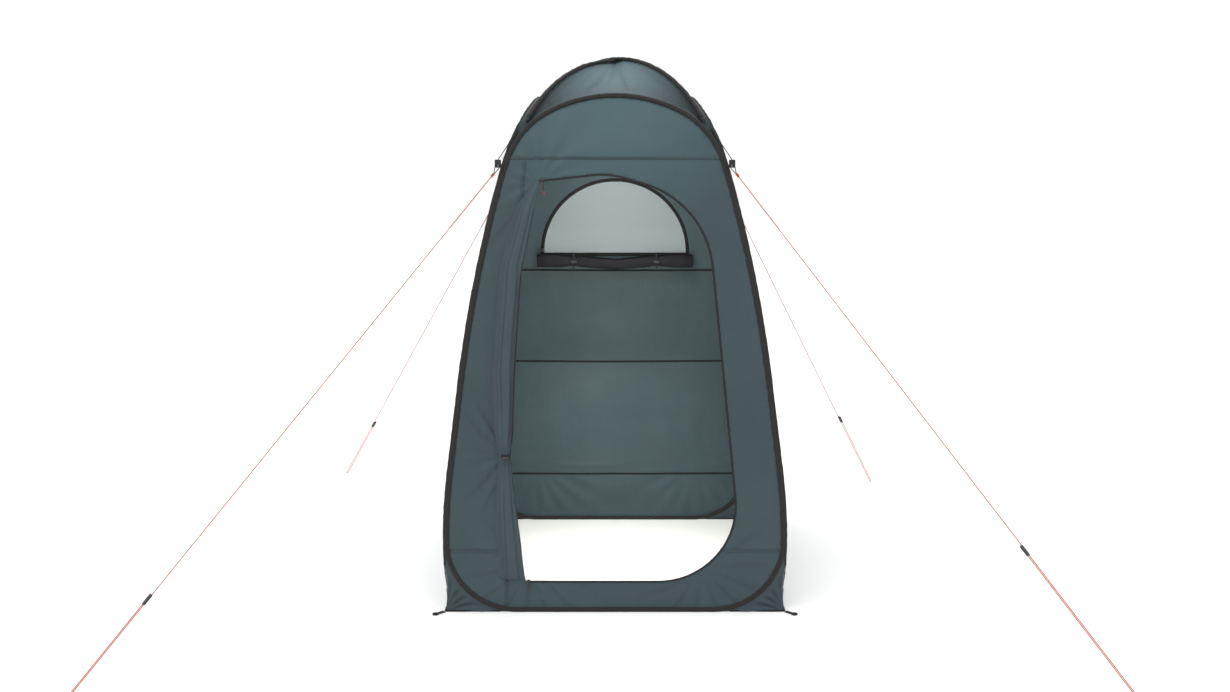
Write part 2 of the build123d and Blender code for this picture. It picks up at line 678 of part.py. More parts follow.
# ---------------- Peg loops at the ground corners ----------------
LOOP_LENGTH = 46.0
LOOP_START = (BASE_HALF + SHEET_HALF) * sqrt(2) + 3.0
for corner, turn in CORNERS.items():
    with BuildPart() as peg_loop:
        with BuildPart(mode=Mode.PRIVATE) as strap:
            with Locations((LOOP_START + LOOP_LENGTH / 2, 0, 2.0)):
                Box(LOOP_LENGTH, 14, 3)
            with Locations((LOOP_START + LOOP_LENGTH - 8, 0, 2.5)):
                Cylinder(11, 4)
                Cylinder(6, 6, mode=Mode.SUBTRACT)
        add(strap.part.rotate(Axis.Z, turn - 45))
    finish_part(peg_loop, f"peg_loop_{corner}")
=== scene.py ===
"""Looks of the pop-up privacy shower tent, in metres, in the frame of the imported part."""

from math import asin, atan2, copysign, cos, dist, hypot, pi, radians, sin, sqrt

import bpy
import numpy as np
from mathutils import Matrix, Vector, geometry, kdtree
from mathutils.noise import noise


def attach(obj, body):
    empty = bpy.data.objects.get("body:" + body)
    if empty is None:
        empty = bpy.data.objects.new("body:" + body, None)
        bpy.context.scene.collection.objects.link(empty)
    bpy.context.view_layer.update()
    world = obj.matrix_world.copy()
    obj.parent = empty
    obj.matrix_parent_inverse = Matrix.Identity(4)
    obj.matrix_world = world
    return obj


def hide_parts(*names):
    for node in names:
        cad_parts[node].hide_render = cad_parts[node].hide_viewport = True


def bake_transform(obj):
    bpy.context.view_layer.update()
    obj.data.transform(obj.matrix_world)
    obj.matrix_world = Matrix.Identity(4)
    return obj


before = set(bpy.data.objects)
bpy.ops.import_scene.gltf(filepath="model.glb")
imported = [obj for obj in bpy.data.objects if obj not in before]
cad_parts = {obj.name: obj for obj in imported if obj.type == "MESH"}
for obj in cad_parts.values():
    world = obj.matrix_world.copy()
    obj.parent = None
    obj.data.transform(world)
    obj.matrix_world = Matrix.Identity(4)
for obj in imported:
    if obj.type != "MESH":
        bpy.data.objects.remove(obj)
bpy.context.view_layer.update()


def new_object(name, data):
    obj = bpy.data.objects.new(name, data)
    bpy.context.collection.objects.link(obj)
    return obj


# ---- camera
camera_data = bpy.data.cameras.new("camera")
camera_data.lens = 38.96
camera_data.sensor_width = 36
camera = new_object("camera", camera_data)
camera.location = (0, -5.10, 1.593)
camera.rotation_euler = (radians(90 - 8.2), 0, 0)
bpy.context.scene.camera = camera

# ---- tent shape, as in the part
BASE_HALF, UPRIGHT = 0.598, 0.250
LOWER_RADIUS, LOWER_LEAN, LEAN_TOP = 2.0, radians(7), 0.8
MIDDLE_RADIUS, MIDDLE_TOP, UPPER_RADIUS = 5.2, 1.5, 1.2
CORNER_RADIUS, ARCH_START, ARCH_SHOULDER, ARCH_CROWN = 0.25, 1.58, 0.30, 1.807
SLEEVE_WIDTH, SLEEVE_HALF = 0.018, 0.0025
# Insets from a hoop's outer edge: the wall cloth, and the middle of the cloth sleeve over it.
PANEL_INSET, SLEEVE_INSET = SLEEVE_WIDTH - 0.0035, 0.0078
HOOP_SLEEVE, ROD_SLEEVE = (0.0084, 0.0040), (0.0105, 0.0060)
APEX, ROD_REACH, ROD_END_HEIGHT, ROD_STEP = 1.938, 0.443, 1.710, 0.009
SIDES = {"front": 0, "right": 90, "back": 180, "left": 270}
CORNERS = {"front_right": 0, "rear_right": 90, "rear_left": 180, "front_left": 270}

low_u = BASE_HALF - LOWER_RADIUS + LOWER_RADIUS * cos(LOWER_LEAN)
low_z = UPRIGHT + LOWER_RADIUS * sin(LOWER_LEAN)
mid_u = low_u - (LEAN_TOP - low_z) * sin(LOWER_LEAN) / cos(LOWER_LEAN)
mid_c = (mid_u - MIDDLE_RADIUS * cos(LOWER_LEAN), LEAN_TOP - MIDDLE_RADIUS * sin(LOWER_LEAN))
MIDDLE_LEAN = asin((MIDDLE_TOP - mid_c[1]) / MIDDLE_RADIUS)
top_u = mid_c[0] + MIDDLE_RADIUS * cos(MIDDLE_LEAN)
top_c = (top_u - UPPER_RADIUS * cos(MIDDLE_LEAN), MIDDLE_TOP - UPPER_RADIUS * sin(MIDDLE_LEAN))
ARCH_LEAN = asin((ARCH_START - top_c[1]) / (UPPER_RADIUS - SLEEVE_HALF))
arch_u = top_c[0] + (UPPER_RADIUS - SLEEVE_HALF) * cos(ARCH_LEAN)
shoulder_c = (arch_u - ARCH_SHOULDER * cos(ARCH_LEAN), ARCH_START - ARCH_SHOULDER * sin(ARCH_LEAN))
rise = ARCH_CROWN - shoulder_c[1] - ARCH_SHOULDER
reach = (rise**2 + shoulder_c[0] ** 2) / (2 * rise)
CROWN_RADIUS = ARCH_SHOULDER + reach
CROWN_LEAN = atan2(reach - rise, shoulder_c[0])
crown_z = ARCH_CROWN - CROWN_RADIUS


def half_width(z):
    """Half width of the tent at height z."""
    if z <= UPRIGHT:
        return BASE_HALF
    if z <= low_z:
        return BASE_HALF - LOWER_RADIUS + sqrt(LOWER_RADIUS**2 - (z - UPRIGHT) ** 2)
    if z <= LEAN_TOP:
        return mid_u + (LEAN_TOP - z) * (low_u - mid_u) / (LEAN_TOP - low_z)
    if z <= MIDDLE_TOP:
        return mid_c[0] + sqrt(MIDDLE_RADIUS**2 - (z - mid_c[1]) ** 2)
    return top_c[0] + sqrt(UPPER_RADIUS**2 - (z - top_c[1]) ** 2)


def lean_at(z):
    """Inward lean of a wall at height z."""
    return atan2(half_width(z - 0.002) - half_width(z + 0.002), 0.004)


def on_wall(x, z, out=0.0):
    """Point of the front wall's middle surface, moved out along its normal."""
    lean = lean_at(z)
    return Vector((x, -half_width(z) - out * cos(lean), z + out * sin(lean)))


def turned(points, turn):
    """The front wall's points taken to another side."""
    spin = Matrix.Rotation(radians(turn), 3, "Z")
    return [spin @ Vector(p) for p in points]


def toward(turn):
    """Level direction at an angle in degrees."""
    return Vector((cos(radians(turn)), sin(radians(turn)), 0))


def arc(centre, radius, start, end, step=0.012):
    count = max(2, int(abs(end - start) * radius / step))
    angles = [start + (end - start) * i / count for i in range(count + 1)]
    return [(centre[0] + radius * cos(a), centre[1] + radius * sin(a)) for a in angles]


def run(a, b, step=0.012):
    across, up = b[0] - a[0], b[1] - a[1]
    count = max(1, int(dist(a, b) / step))
    return [(a[0] + across * i / count, a[1] + up * i / count) for i in range(count + 1)]


def joined(*pieces):
    """One run of points from several, without the doubled ends."""
    out = []
    for piece in pieces:
        for p in piece:
            if not out or dist(p, out[-1]) > 1e-6:
                out.append(p)
    return out


def rounded(corners, radii, step):
    """Open run of straights with a round at each inner corner."""
    out = [corners[0]]
    for before, here, after, radius in zip(corners, corners[1:], corners[2:], radii):
        a, b = Vector(before) - Vector(here), Vector(after) - Vector(here)
        half = a.angle(b) / 2
        a.normalize()
        b.normalize()
        centre = Vector(here) + (a + b).normalized() * (radius / sin(half))
        cut = radius / (sin(half) / cos(half))
        start, end = Vector(here) + a * cut - centre, Vector(here) + b * cut - centre
        first, last = atan2(start.y, start.x), atan2(end.y, end.x)
        last = first + (last - first + pi) % (2 * pi) - pi
        out = joined(out, run(out[-1], tuple(centre + start), step),
                     arc(centre, radius, first, last, step))
    return joined(out, run(out[-1], corners[-1], step))


def panel_loop(inset, step=0.012):
    """Closed outline of a wall panel, inset from its hoop's outer edge."""
    corner_x = BASE_HALF - SLEEVE_HALF - CORNER_RADIUS
    shift = -SLEEVE_HALF - inset
    side = []
    for height in np.arange(UPRIGHT, ARCH_START, step):
        lean = lean_at(height)
        side.append((half_width(height) + shift * cos(lean), height + shift * sin(lean)))
    right = joined(
        run((0, inset), (corner_x, inset), step),
        arc((corner_x, CORNER_RADIUS), CORNER_RADIUS - inset, -pi / 2, 0, step),
        side,
        arc(shoulder_c, ARCH_SHOULDER - inset, ARCH_LEAN, CROWN_LEAN, step),
        arc((0, crown_z), CROWN_RADIUS - inset, CROWN_LEAN, pi / 2, step),
    )
    return right + [(-x, z) for x, z in reversed(right[1:-1])]


# Door opening: the zip's run from its top end to its bottom end, then the tied-back edge.
DOOR_CORNERS = [(-0.262, 1.500), (-0.020, 1.526), (0.318, 1.426), (0.448, 0.110), (-0.312, 0.110)]
DOOR_RADII = (0.300, 0.330, 0.270)
DOOR_PINCH_BOW = 0.0823
DOOR_TOP, DOOR_TIE = DOOR_CORNERS[0], (-0.378, 0.556)


def door_left_run(step):
    """Edge of the opening under the gathered door, bowed toward the tie."""
    low, high = Vector(DOOR_CORNERS[-1]), Vector(DOOR_TOP)
    count = int((high - low).length / step)
    points = []
    for i in range(count + 1):
        t = i / count
        p = low.lerp(high, t)
        points.append((p.x - DOOR_PINCH_BOW * 4 * t * (1 - t), p.y))
    return points


WINDOW_RADIUS, WINDOW_BASE = 0.296, 1.185


def window_loop(grow, step):
    side = WINDOW_RADIUS + grow
    base = WINDOW_BASE - grow
    return joined(run((-side, base), (side, base), step), [(side, WINDOW_BASE)],
                  arc((0, WINDOW_BASE), side, 0, pi, step))


# ---- node materials
def linear(rgb):
    """Linear colour of an sRGB one given from 0 to 255."""
    return tuple(((c / 255 + 0.055) / 1.055) ** 2.4 if c > 10 else c / 255 / 12.92 for c in rgb)


class Shade:
    """Small helper that builds one node material."""

    def __init__(self, name, rough=0.6, sheen=0.0, spec=0.5):
        self.mat = bpy.data.materials.new(name)
        self.mat.use_nodes = True
        self.tree = self.mat.node_tree
        self.bsdf = self.tree.nodes["Principled BSDF"]
        for key, v in (("Roughness", rough), ("Sheen Weight", sheen), ("Specular IOR Level", spec)):
            self.bsdf.inputs[key].default_value = v

    def node(self, kind, **values):
        """New shader node; values are its sockets and its settings by name."""
        n = self.tree.nodes.new("ShaderNode" + kind)
        for key, value in values.items():
            if key in n.inputs:
                self.feed(n.inputs[key], value)
            else:
                setattr(n, key, value)
        return n

    def feed(self, socket, value):
        """Put a number, a vector or colour, or another node's output into a socket."""
        if isinstance(value, tuple):
            socket.default_value = (*value, 1.0)[:len(socket.default_value)]
        elif isinstance(value, (int, float)):
            socket.default_value = value
        else:
            self.tree.links.new(value, socket)

    def mapped(self, source, scale, turn=0.0):
        place = self.node("TexCoord").outputs[source]
        n = self.node("Mapping", Vector=place, Scale=scale, Rotation=(0, 0, turn))
        return n.outputs["Vector"]

    def uv(self, sx=1.0, sy=1.0, turn=0.0):
        """UV coordinates, which are metres on every piece, scaled."""
        return self.mapped("UV", (sx, sy, 1), turn)

    def space(self, sz=1.0):
        return self.mapped("Object", (1, 1, sz))

    def noise(self, place, scale, detail=2.0, rough=0.5):
        n = self.node("TexNoise", Vector=place, Scale=scale, Detail=detail, Roughness=rough)
        return n.outputs["Fac"]

    def wave(self, place, period, axis="X"):
        scale = 2 * pi / (20 * period)
        n = self.node("TexWave", Vector=place, Scale=scale, Distortion=0.0, bands_direction=axis)
        return n.outputs["Fac"]

    def maths(self, kind, a, b):
        n = self.node("Math", operation=kind)
        self.feed(n.inputs[0], a)
        self.feed(n.inputs[1], b)
        return n.outputs[0]

    def ramp(self, value, low, high, out_low=0.0, out_high=1.0):
        ends = {"From Min": low, "From Max": high, "To Min": out_low, "To Max": out_high}
        return self.node("MapRange", Value=value, **ends).outputs["Result"]

    def mix(self, fac, a, b):
        n = self.node("Mix", data_type="RGBA")
        for index, value in ((0, fac), (6, a), (7, b)):
            self.feed(n.inputs[index], value)
        return n.outputs[2]

    def colour(self, value):
        self.feed(self.bsdf.inputs["Base Color"], value)

    def rough(self, value):
        self.feed(self.bsdf.inputs["Roughness"], value)

    def bump(self, height, strength, distance, **under):
        """Bump on the surface, over another bump's Normal if it is given."""
        n = self.node("Bump", Strength=strength, Distance=distance, Height=height, **under)
        self.feed(self.bsdf.inputs["Normal"], n.outputs["Normal"])
        return n.outputs["Normal"]


# Name of the mesh layer that holds the darkness of painted fold shade.
PAINTED_FOLD_SHADE_LAYER = "folds"


def scaled(rgb, k):
    return tuple(min(1.0, c * k) for c in rgb)


def cloth(name, rgb, crinkle=1.0, painted_glow=None, gloss=0.35):
    """Coated plain-weave cloth, with shade painted where the mesh's fold-shade layer says it lies in a
    fold.

    The painted glow is painted light, standing in for light that shines through the cloth: a
    place, the distances where it is full and gone, and its colour.
    """
    s = Shade(name, rough=0.62, sheen=gloss * 0.28, spec=gloss)
    uv = s.uv()
    weave = s.maths("MULTIPLY", s.wave(uv, 0.0011, "X"), s.wave(uv, 0.0011, "Y"))
    drift = s.noise(uv, 2.3, 3, 0.55)
    crease = s.noise(s.uv(1.0, 0.42, 0.3), 16, 5, 0.62)
    fold = s.noise(s.uv(0.5, 1.0, -0.5), 7, 3, 0.5)
    base = s.mix(s.ramp(drift, 0.35, 0.65), scaled(rgb, 0.93), scaled(rgb, 1.06))
    # Painted shade: the colour darkens along the crease pattern that also bumps the surface.
    crease_shade = s.mix(s.ramp(crease, 0.42, 0.62, 0.0, 0.16), base, scaled(rgb, 0.74))
    # Painted highlight: the weave's raised crossings are lightened.
    tone = s.mix(s.maths("MULTIPLY", weave, 0.10), crease_shade, scaled(rgb, 1.35))
    # Painted light: the colour lightens toward the glow's colour near its place.
    if painted_glow:
        place, full, gone, painted_light_rgb = painted_glow
        far = s.node("VectorMath", operation="DISTANCE")
        s.feed(far.inputs[0], s.space())
        s.feed(far.inputs[1], place)
        lit = s.ramp(far.outputs["Value"], full, gone, 1.0, 0.0)
        tone = s.mix(lit, tone, painted_light_rgb)
    # Painted shade: the colour darkens where the fold-shade layer says the cloth lies in a fold.
    folds = s.node("SeparateXYZ", Vector=s.node("UVMap", uv_map=PAINTED_FOLD_SHADE_LAYER).outputs["UV"])
    s.colour(s.mix(folds.outputs["X"], tone, scaled(rgb, 0.30)))
    s.rough(s.ramp(fold, 0.3, 0.7, 0.54, 0.70))
    soft = s.bump(fold, 0.5 * crinkle, 0.012)
    soft = s.bump(crease, 0.55 * crinkle, 0.0045, Normal=soft)
    s.bump(weave, 0.35, 0.0002, Normal=soft)
    return s.mat


def webbing(name, rgb, rib=0.0016, rough=0.75):
    """Ribbed tape with faint wear."""
    s = Shade(name, rough=rough, sheen=0.08, spec=0.25)
    uv = s.uv()
    ribs = s.wave(uv, rib, "X")
    cross = s.wave(uv, rib * 2.2, "Y")
    wear = s.noise(uv, 60, 4, 0.6)
    base = s.mix(s.ramp(wear, 0.35, 0.7), scaled(rgb, 0.8), scaled(rgb, 1.25))
    # Painted highlight: the ribs' crests are lightened.
    s.colour(s.mix(s.maths("MULTIPLY", ribs, 0.25), base, scaled(rgb, 1.7)))
    s.rough(s.ramp(wear, 0.3, 0.7, rough - 0.08, rough + 0.1))
    s.bump(s.maths("ADD", ribs, s.maths("MULTIPLY", cross, 0.5)), 0.5, 0.0005)
    return s.mat


def pane_cloth(name, rgb):
    """Fine see-through mesh: pale threads that let the light behind glow through."""
    s = Shade(name, rough=0.8, sheen=0.2, spec=0.2)
    uv = s.uv()
    threads = s.maths("MAXIMUM", s.wave(uv, 0.0016, "X"), s.wave(uv, 0.0016, "Y"))
    haze = s.noise(uv, 3, 2, 0.5)
    base = s.mix(s.ramp(haze, 0.3, 0.7), scaled(rgb, 0.96), scaled(rgb, 1.04))
    s.colour(s.mix(s.maths("MULTIPLY", threads, 0.2), scaled(rgb, 0.9), base))
    s.bump(threads, 0.3, 0.0003)
    s.bsdf.inputs["Alpha"].default_value = 0.75
    return s.mat


def plastic(name, rgb, rough=0.42):
    s = Shade(name, rough=rough)
    p = s.space()
    grain = s.noise(p, 900, 3, 0.6)
    scuff = s.noise(p, 140, 5, 0.65)
    s.colour(s.mix(s.ramp(scuff, 0.45, 0.75), rgb, scaled(rgb, 1.5)))
    s.rough(s.ramp(scuff, 0.3, 0.7, rough - 0.08, rough + 0.14))
    s.bump(grain, 0.25, 0.0002)
    return s.mat


def cord_pull(name, cord_rgb, tip_rgb, tip_height):
    """Thin cord pull whose end, below a height, is a moulded coloured tip."""
    s = Shade(name, rough=0.6, spec=0.3)
    place = s.node("SeparateXYZ", Vector=s.space())
    tip = s.ramp(place.outputs["Z"], tip_height - 0.001, tip_height + 0.001, 1.0, 0.0)
    fibre = s.noise(s.space(0.3), 1400, 3, 0.6)
    cord = s.mix(s.ramp(fibre, 0.35, 0.65), scaled(cord_rgb, 0.8), scaled(cord_rgb, 1.6))
    s.colour(s.mix(tip, cord, tip_rgb))
    s.bump(fibre, 0.4, 0.0003)
    return s.mat


def braid(name, rgb, diameter):
    """Braided cord of two crossing families of strands."""
    s = Shade(name, rough=0.7, sheen=0.08, spec=0.25)
    one = s.wave(s.uv(1, 1, 0.9), diameter * 0.55, "X")
    two = s.wave(s.uv(1, 1, -0.9), diameter * 0.55, "X")
    strands = s.maths("MAXIMUM", one, two)
    fleck = s.noise(s.uv(), 300, 2, 0.6)
    base = s.mix(s.ramp(fleck, 0.4, 0.6), scaled(rgb, 0.8), scaled(rgb, 1.1))
    # Painted shade: the grooves between the strands are darkened.
    s.colour(s.mix(s.ramp(strands, 0.3, 0.9), scaled(rgb, 0.5), base))
    s.bump(strands, 0.6, diameter * 0.12)
    return s.mat


WALL = linear((48, 64, 69))
# Painted light: the wall cloth lightens near the top middle of the front wall.
WALL_PAINTED_GLOW = ((0, -0.45, 1.80), 0.05, 0.52, linear((59, 85, 90)))
# The roof has the wall's cloth; its darker colour here is painted shade.
ROOF_PAINTED_SHADE = linear((38, 50, 53))
# Painted light: the roof cloth lightens near the apex.
ROOF_PAINTED_GLOW = ((0, -0.12, 1.90), 0.05, 0.31, linear((88, 109, 114)))
BINDING = linear((33, 32, 31))
MATERIALS = {
    "wall": cloth("wall_cloth", WALL, painted_glow=WALL_PAINTED_GLOW),
    "roof": cloth("roof_cloth", ROOF_PAINTED_SHADE, 1.2, painted_glow=ROOF_PAINTED_GLOW),
    # Outside seams: the wall's cloth darkened as a painted shadow line along each seam.
    "seam": cloth("seam_shadow_cloth", scaled(WALL, 0.80)),
    "cover": cloth("cover_cloth", linear((31, 30, 35)), 1.3, gloss=0.10),
    "binding": webbing("binding_tape", BINDING, 0.0022),
    "black_tape": webbing("black_tape", linear((15, 13, 14)), 0.0016),
    "webbing": webbing("black_webbing", linear((34, 33, 34)), 0.0020),
    "zip": webbing("zip_tape", linear((30, 30, 31)), 0.0012),
    "coil": plastic("zip_coil", linear((26, 26, 27)), 0.35),
    "metal": plastic("slider_metal", linear((44, 43, 43)), 0.3),
    "dark": plastic("dark_plastic", linear((36, 35, 37)), 0.45),
    "pull": plastic("cord_pull", linear((40, 32, 32)), 0.6),
    "top_pull": cord_pull("top_cord_pull", linear((32, 30, 30)), linear((128, 46, 34)), 1.466),
    "mesh": pane_cloth("window_mesh_cloth", linear((132, 143, 146))),
    "steel": plastic("spring_steel", linear((120, 120, 124)), 0.3),
    "rod": plastic("rod_fibreglass", linear((40, 40, 41)), 0.4),
    "guy": braid("guy_cord", linear((196, 66, 20)), 0.003),
    "black_cord": braid("black_cord", linear((26, 25, 26)), 0.0022),
}


# ---- mesh helpers
def make_mesh(name, verts, faces, uvs, material, body="tent", thick=0.0, folds=None):
    """Smooth mesh piece on a body; each vertex has a uv in metres and the darkness of painted fold
    shade.
    """
    mesh = bpy.data.meshes.new(name)
    mesh.from_pydata([tuple(v) for v in verts], [], [tuple(f) for f in faces])
    index = np.empty(len(mesh.loops), dtype=np.int32)
    mesh.loops.foreach_get("vertex_index", index)
    layers = {"UVMap": uvs, PAINTED_FOLD_SHADE_LAYER: [(depth, 0) for depth in folds]} if folds else {"UVMap": uvs}
    for layer, values in layers.items():
        values = np.array(values, dtype=np.float32)[index]
        mesh.uv_layers.new(name=layer).data.foreach_set("uv", values.ravel())
    mesh.polygons.foreach_set("use_smooth", [True] * len(mesh.polygons))
    mesh.materials.append(MATERIALS[material])
    obj = new_object(name, mesh)
    if thick:
        shell = obj.modifiers.new("thickness", "SOLIDIFY")
        shell.thickness = thick
        shell.offset = 0
    if body:
        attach(obj, body)
    return obj


def grid_faces(rows, wide, flip=False, ring=False, closed=False):
    """Quads between points kept row by row; a row may be a ring, and closed joins the ends."""
    faces = []
    for i in range(rows if closed else rows - 1):
        a, b = i * wide, (i + 1) % rows * wide
        for k in range(wide if ring else wide - 1):
            m = (k + 1) % wide
            quad = (a + k, b + k, b + m, a + m)
            faces.append(quad[:1] + quad[:0:-1] if flip else quad)
    return faces


def tube_faces(count, rings, closed=False):
    """Faces round a tube of rings, with a cap on each open end."""
    faces = grid_faces(count, rings, flip=True, ring=True, closed=closed)
    if not closed:
        last = (count - 1) * rings
        faces += [tuple(range(rings))[::-1], tuple(range(last, last + rings))]
    return faces


def inside(points, loops):
    """Even-odd test of many points: inside the first loop and outside the others."""
    px, pz = points[:, 0], points[:, 1]
    hit = np.zeros(len(points), dtype=bool)
    for ends in map(np.array, loops):
        for (ax, az), (bx, bz) in zip(ends, np.roll(ends, -1, axis=0)):
            if az != bz:
                crosses = (az > pz) != (bz > pz)
                hit ^= crosses & (px < (bx - ax) * (pz - az) / (bz - az) + ax)
    return hit


def search_tree(points):
    tree = kdtree.KDTree(len(points))
    for i, p in enumerate(points):
        tree.insert((p[0], p[1], 0), i)
    tree.balance()
    return tree


def flat_mesh(loops, step):
    """Even triangles inside the first loop and outside the others."""
    outer = np.array(loops[0])
    low, high = outer.min(0), outer.max(0)
    rows = []
    for j, z in enumerate(np.arange(low[1] + step / 2, high[1], step * 0.87)):
        xs = np.arange(low[0] + step * (0.5 + 0.5 * (j % 2)), high[0], step)
        rows.append(np.column_stack([xs, np.full(len(xs), z)]))
    grid = np.concatenate(rows)
    edges, border = [], []
    for loop in loops:
        first = len(border)
        border += list(loop)
        edges += [(first + i, first + (i + 1) % len(loop)) for i in range(len(loop))]
    tree = search_tree(border)
    inner = [p for p in grid[inside(grid, loops)] if tree.find((p[0], p[1], 0))[2] > step * 0.45]
    points = [Vector(p) for p in border] + [Vector(p) for p in inner]
    out = geometry.delaunay_2d_cdt(points, edges, [], 0, 1e-7)
    verts, faces = out[0], out[2]
    middle = np.array([[sum(verts[i][k] for i in f) / 3 for k in (0, 1)] for f in faces])
    faces = [f for f, ok in zip(faces, inside(middle, loops)) if ok]
    return [tuple(v) for v in verts], faces


def smooth(value, low, high):
    t = min(1.0, max(0.0, (value - low) / (high - low)))
    return t * t * (3 - 2 * t)


def held(relief, loops):
    """A relief that fades out toward the edges that hold the cloth."""
    tree = search_tree([p for loop in loops for p in loop])
    return lambda x, z: relief(x, z) * smooth(tree.find((x, z, 0))[2], 0.0, 0.05)


CLOTH_THICK = 0.0004


def wall_piece(name, side, loops, rise, material, thick=CLOTH_THICK, folds=None):
    """Cloth over a wall: flat outline, bent to the wall and lifted by its rise."""
    points, faces = flat_mesh(loops, 0.011)
    verts = [on_wall(x, z, rise(x, z)) for x, z in points]
    depth = [folds(x, z) for x, z in points] if folds else None
    return make_mesh(name, turned(verts, SIDES[side]), faces, points, material, thick=thick,
                     folds=depth)


def ribbon(name, side, points, width, lift, material, bulge=0.0006, ripple=0.0, closed=False,
           over=lambda x, z: 0.0):
    """Narrow crowned tape along a path on a wall, lifted from the surface that over gives."""
    count = len(points)
    verts, uvs = [], []
    along = 0.0
    columns = (-0.5, -0.46, -0.2, 0.0, 0.2, 0.46, 0.5)
    rises = (-0.6, 0.4, 1.0, 1.1, 1.0, 0.4, -0.6)
    for i, p in enumerate(points):
        before = points[(i - 1) % count] if closed or i else p
        after = points[(i + 1) % count] if closed or i < count - 1 else p
        tangent = Vector((after[0] - before[0], after[1] - before[1])).normalized()
        normal = Vector((-tangent.y, tangent.x))
        if i:
            along += dist(p, points[i - 1])
        wobble = ripple * noise((along * 40, 3.1, 0.7)) if ripple else 0.0
        for column, height in zip(columns, rises):
            x, z = p[0] + normal.x * width * column, p[1] + normal.y * width * column
            sign = 1 if lift >= 0 else -1
            verts.append(on_wall(x, z, over(x, z) + lift + sign * (height * bulge + wobble)))
            uvs.append((along, column * width))
    faces = grid_faces(count, len(columns), closed=closed)
    return make_mesh(name, turned(verts, SIDES[side]), faces, uvs, material, thick=0.0008)


def tube(name, path, normals, wide, deep, material, rings=18, ripple=0.0, closed=False, seed=0.0,
         taper=None, swell=None):
    """Flattened cloth tube along a 3-D path, puckered between its stitches; swell thickens it."""
    count = len(path)
    verts, uvs = [], []
    along = 0.0
    for i, p in enumerate(path):
        before = path[(i - 1) % count] if closed or i else p
        after = path[(i + 1) % count] if closed or i < count - 1 else p
        tangent = (after - before).normalized()
        side = tangent.cross(normals[i]).normalized()
        up = side.cross(tangent).normalized()
        if i:
            along += (p - path[i - 1]).length
        size = taper(i / (count - 1)) if taper else 1.0
        swollen = swell(p) if swell else 1.0
        for k in range(rings):
            a = 2 * pi * k / rings
            c, s = cos(a), sin(a)
            flat, high = copysign(wide * abs(c) ** 0.7, c), copysign(deep * abs(s) ** 0.9, s)
            pucker = 1 + ripple * noise((along * 55, c * 1.5, s + seed))
            verts.append(p + side * flat * size * (1 + ripple * 0.1 * noise((along * 20, seed, c)))
                         + up * high * size * pucker * swollen)
            uvs.append((along, a * (wide + deep) / 2))
    return make_mesh(name, verts, tube_faces(count, rings, closed), uvs, material)


# ---- guy lines
GUY_OUT, GUY_HIGH = 0.424, 1.524
PEG_BEND, CORD = 0.0045, 0.003
RUNNER_LONG = 0.038
GUYS = {
    "front_left": (-1.611, -1.401, 0.83),
    "front_right": (1.543, -1.401, 0.745),
    "rear_right": (1.251, 1.269, 0.77),
    "rear_left": (-1.352, 1.443, 0.81),
}


def cord_curve(name, points):
    curve = bpy.data.curves.new(name, "CURVE")
    curve.dimensions = "3D"
    spline = curve.splines.new("NURBS")
    spline.points.add(len(points) - 1)
    for spot, p in zip(spline.points, points):
        spot.co = (*p, 1)
    spline.order_u = 3
    spline.use_endpoint_u = True
    spline.resolution_u = 12
    curve.bevel_depth = CORD / 2
    curve.bevel_resolution = 4
    curve.use_fill_caps = True
    curve.materials.append(MATERIALS["guy"])
    obj = new_object(name, curve)
    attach(obj, "tent")
    return obj


def straight_tube(name, start, end, parts=24, rings=12):
    """Straight cord as a mesh, from one point to another."""
    along = (end - start).normalized()
    side = along.cross(Vector((0, 0, 1))).normalized()
    up = side.cross(along)
    verts, uvs = [], []
    for i in range(parts + 1):
        for k in range(rings):
            a = 2 * pi * k / rings
            t = (end - start).length * i / parts
            verts.append(start + along * t + (side * cos(a) + up * sin(a)) * CORD / 2)
            uvs.append((t, a * CORD / 2))
    return make_mesh(name, verts, tube_faces(parts + 1, rings), uvs, "guy", body=None)


def wrap_knot(name, start, along, length, turns=4, radius=0.0031, gauge=0.0014):
    """Knot at a line's end: a few tight turns round the line, thicker at the middle."""
    side = along.cross(Vector((0, 0, 1))).normalized()
    up = side.cross(along)
    count = turns * 16
    path = []
    for i in range(count + 1):
        t = i / count
        a = 2 * pi * turns * t
        r = radius * (0.75 + 0.45 * sin(pi * t))
        path.append(start + along * length * t + (side * cos(a) + up * sin(a)) * r)
    normals = [(p - start - along * (p - start).dot(along)).normalized() for p in path]
    return tube(name, path, normals, gauge, gauge, "guy", rings=8)


for corner, (ground_x, ground_y, share) in GUYS.items():
    top = Vector((copysign(GUY_OUT, ground_x), copysign(GUY_OUT, ground_y), GUY_HIGH))
    peg = Vector((ground_x, ground_y, 0.004))
    along = (peg - top).normalized()
    length = (peg - top).length
    aside = along.cross(Vector((0, 0, 1))).normalized() * 2 * PEG_BEND
    route = [top, top + along * (length - 0.018), top + along * length,
             top + along * length + aside, top + along * (length - 0.016) + aside]
    line = cord_curve(f"line_{corner}", route)
    knot = wrap_knot(f"knot_{corner}", top - along * 0.004, along, 0.017)
    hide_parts(f"guy_line_{corner}")
    strand_top = top + along * (length * share + RUNNER_LONG / 2) + aside
    strand_low = top + along * (length - 0.0165) + aside
    strand = straight_tube(f"strand_{corner}", strand_low, strand_top)
    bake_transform(strand)
    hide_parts(f"guy_strand_{corner}")


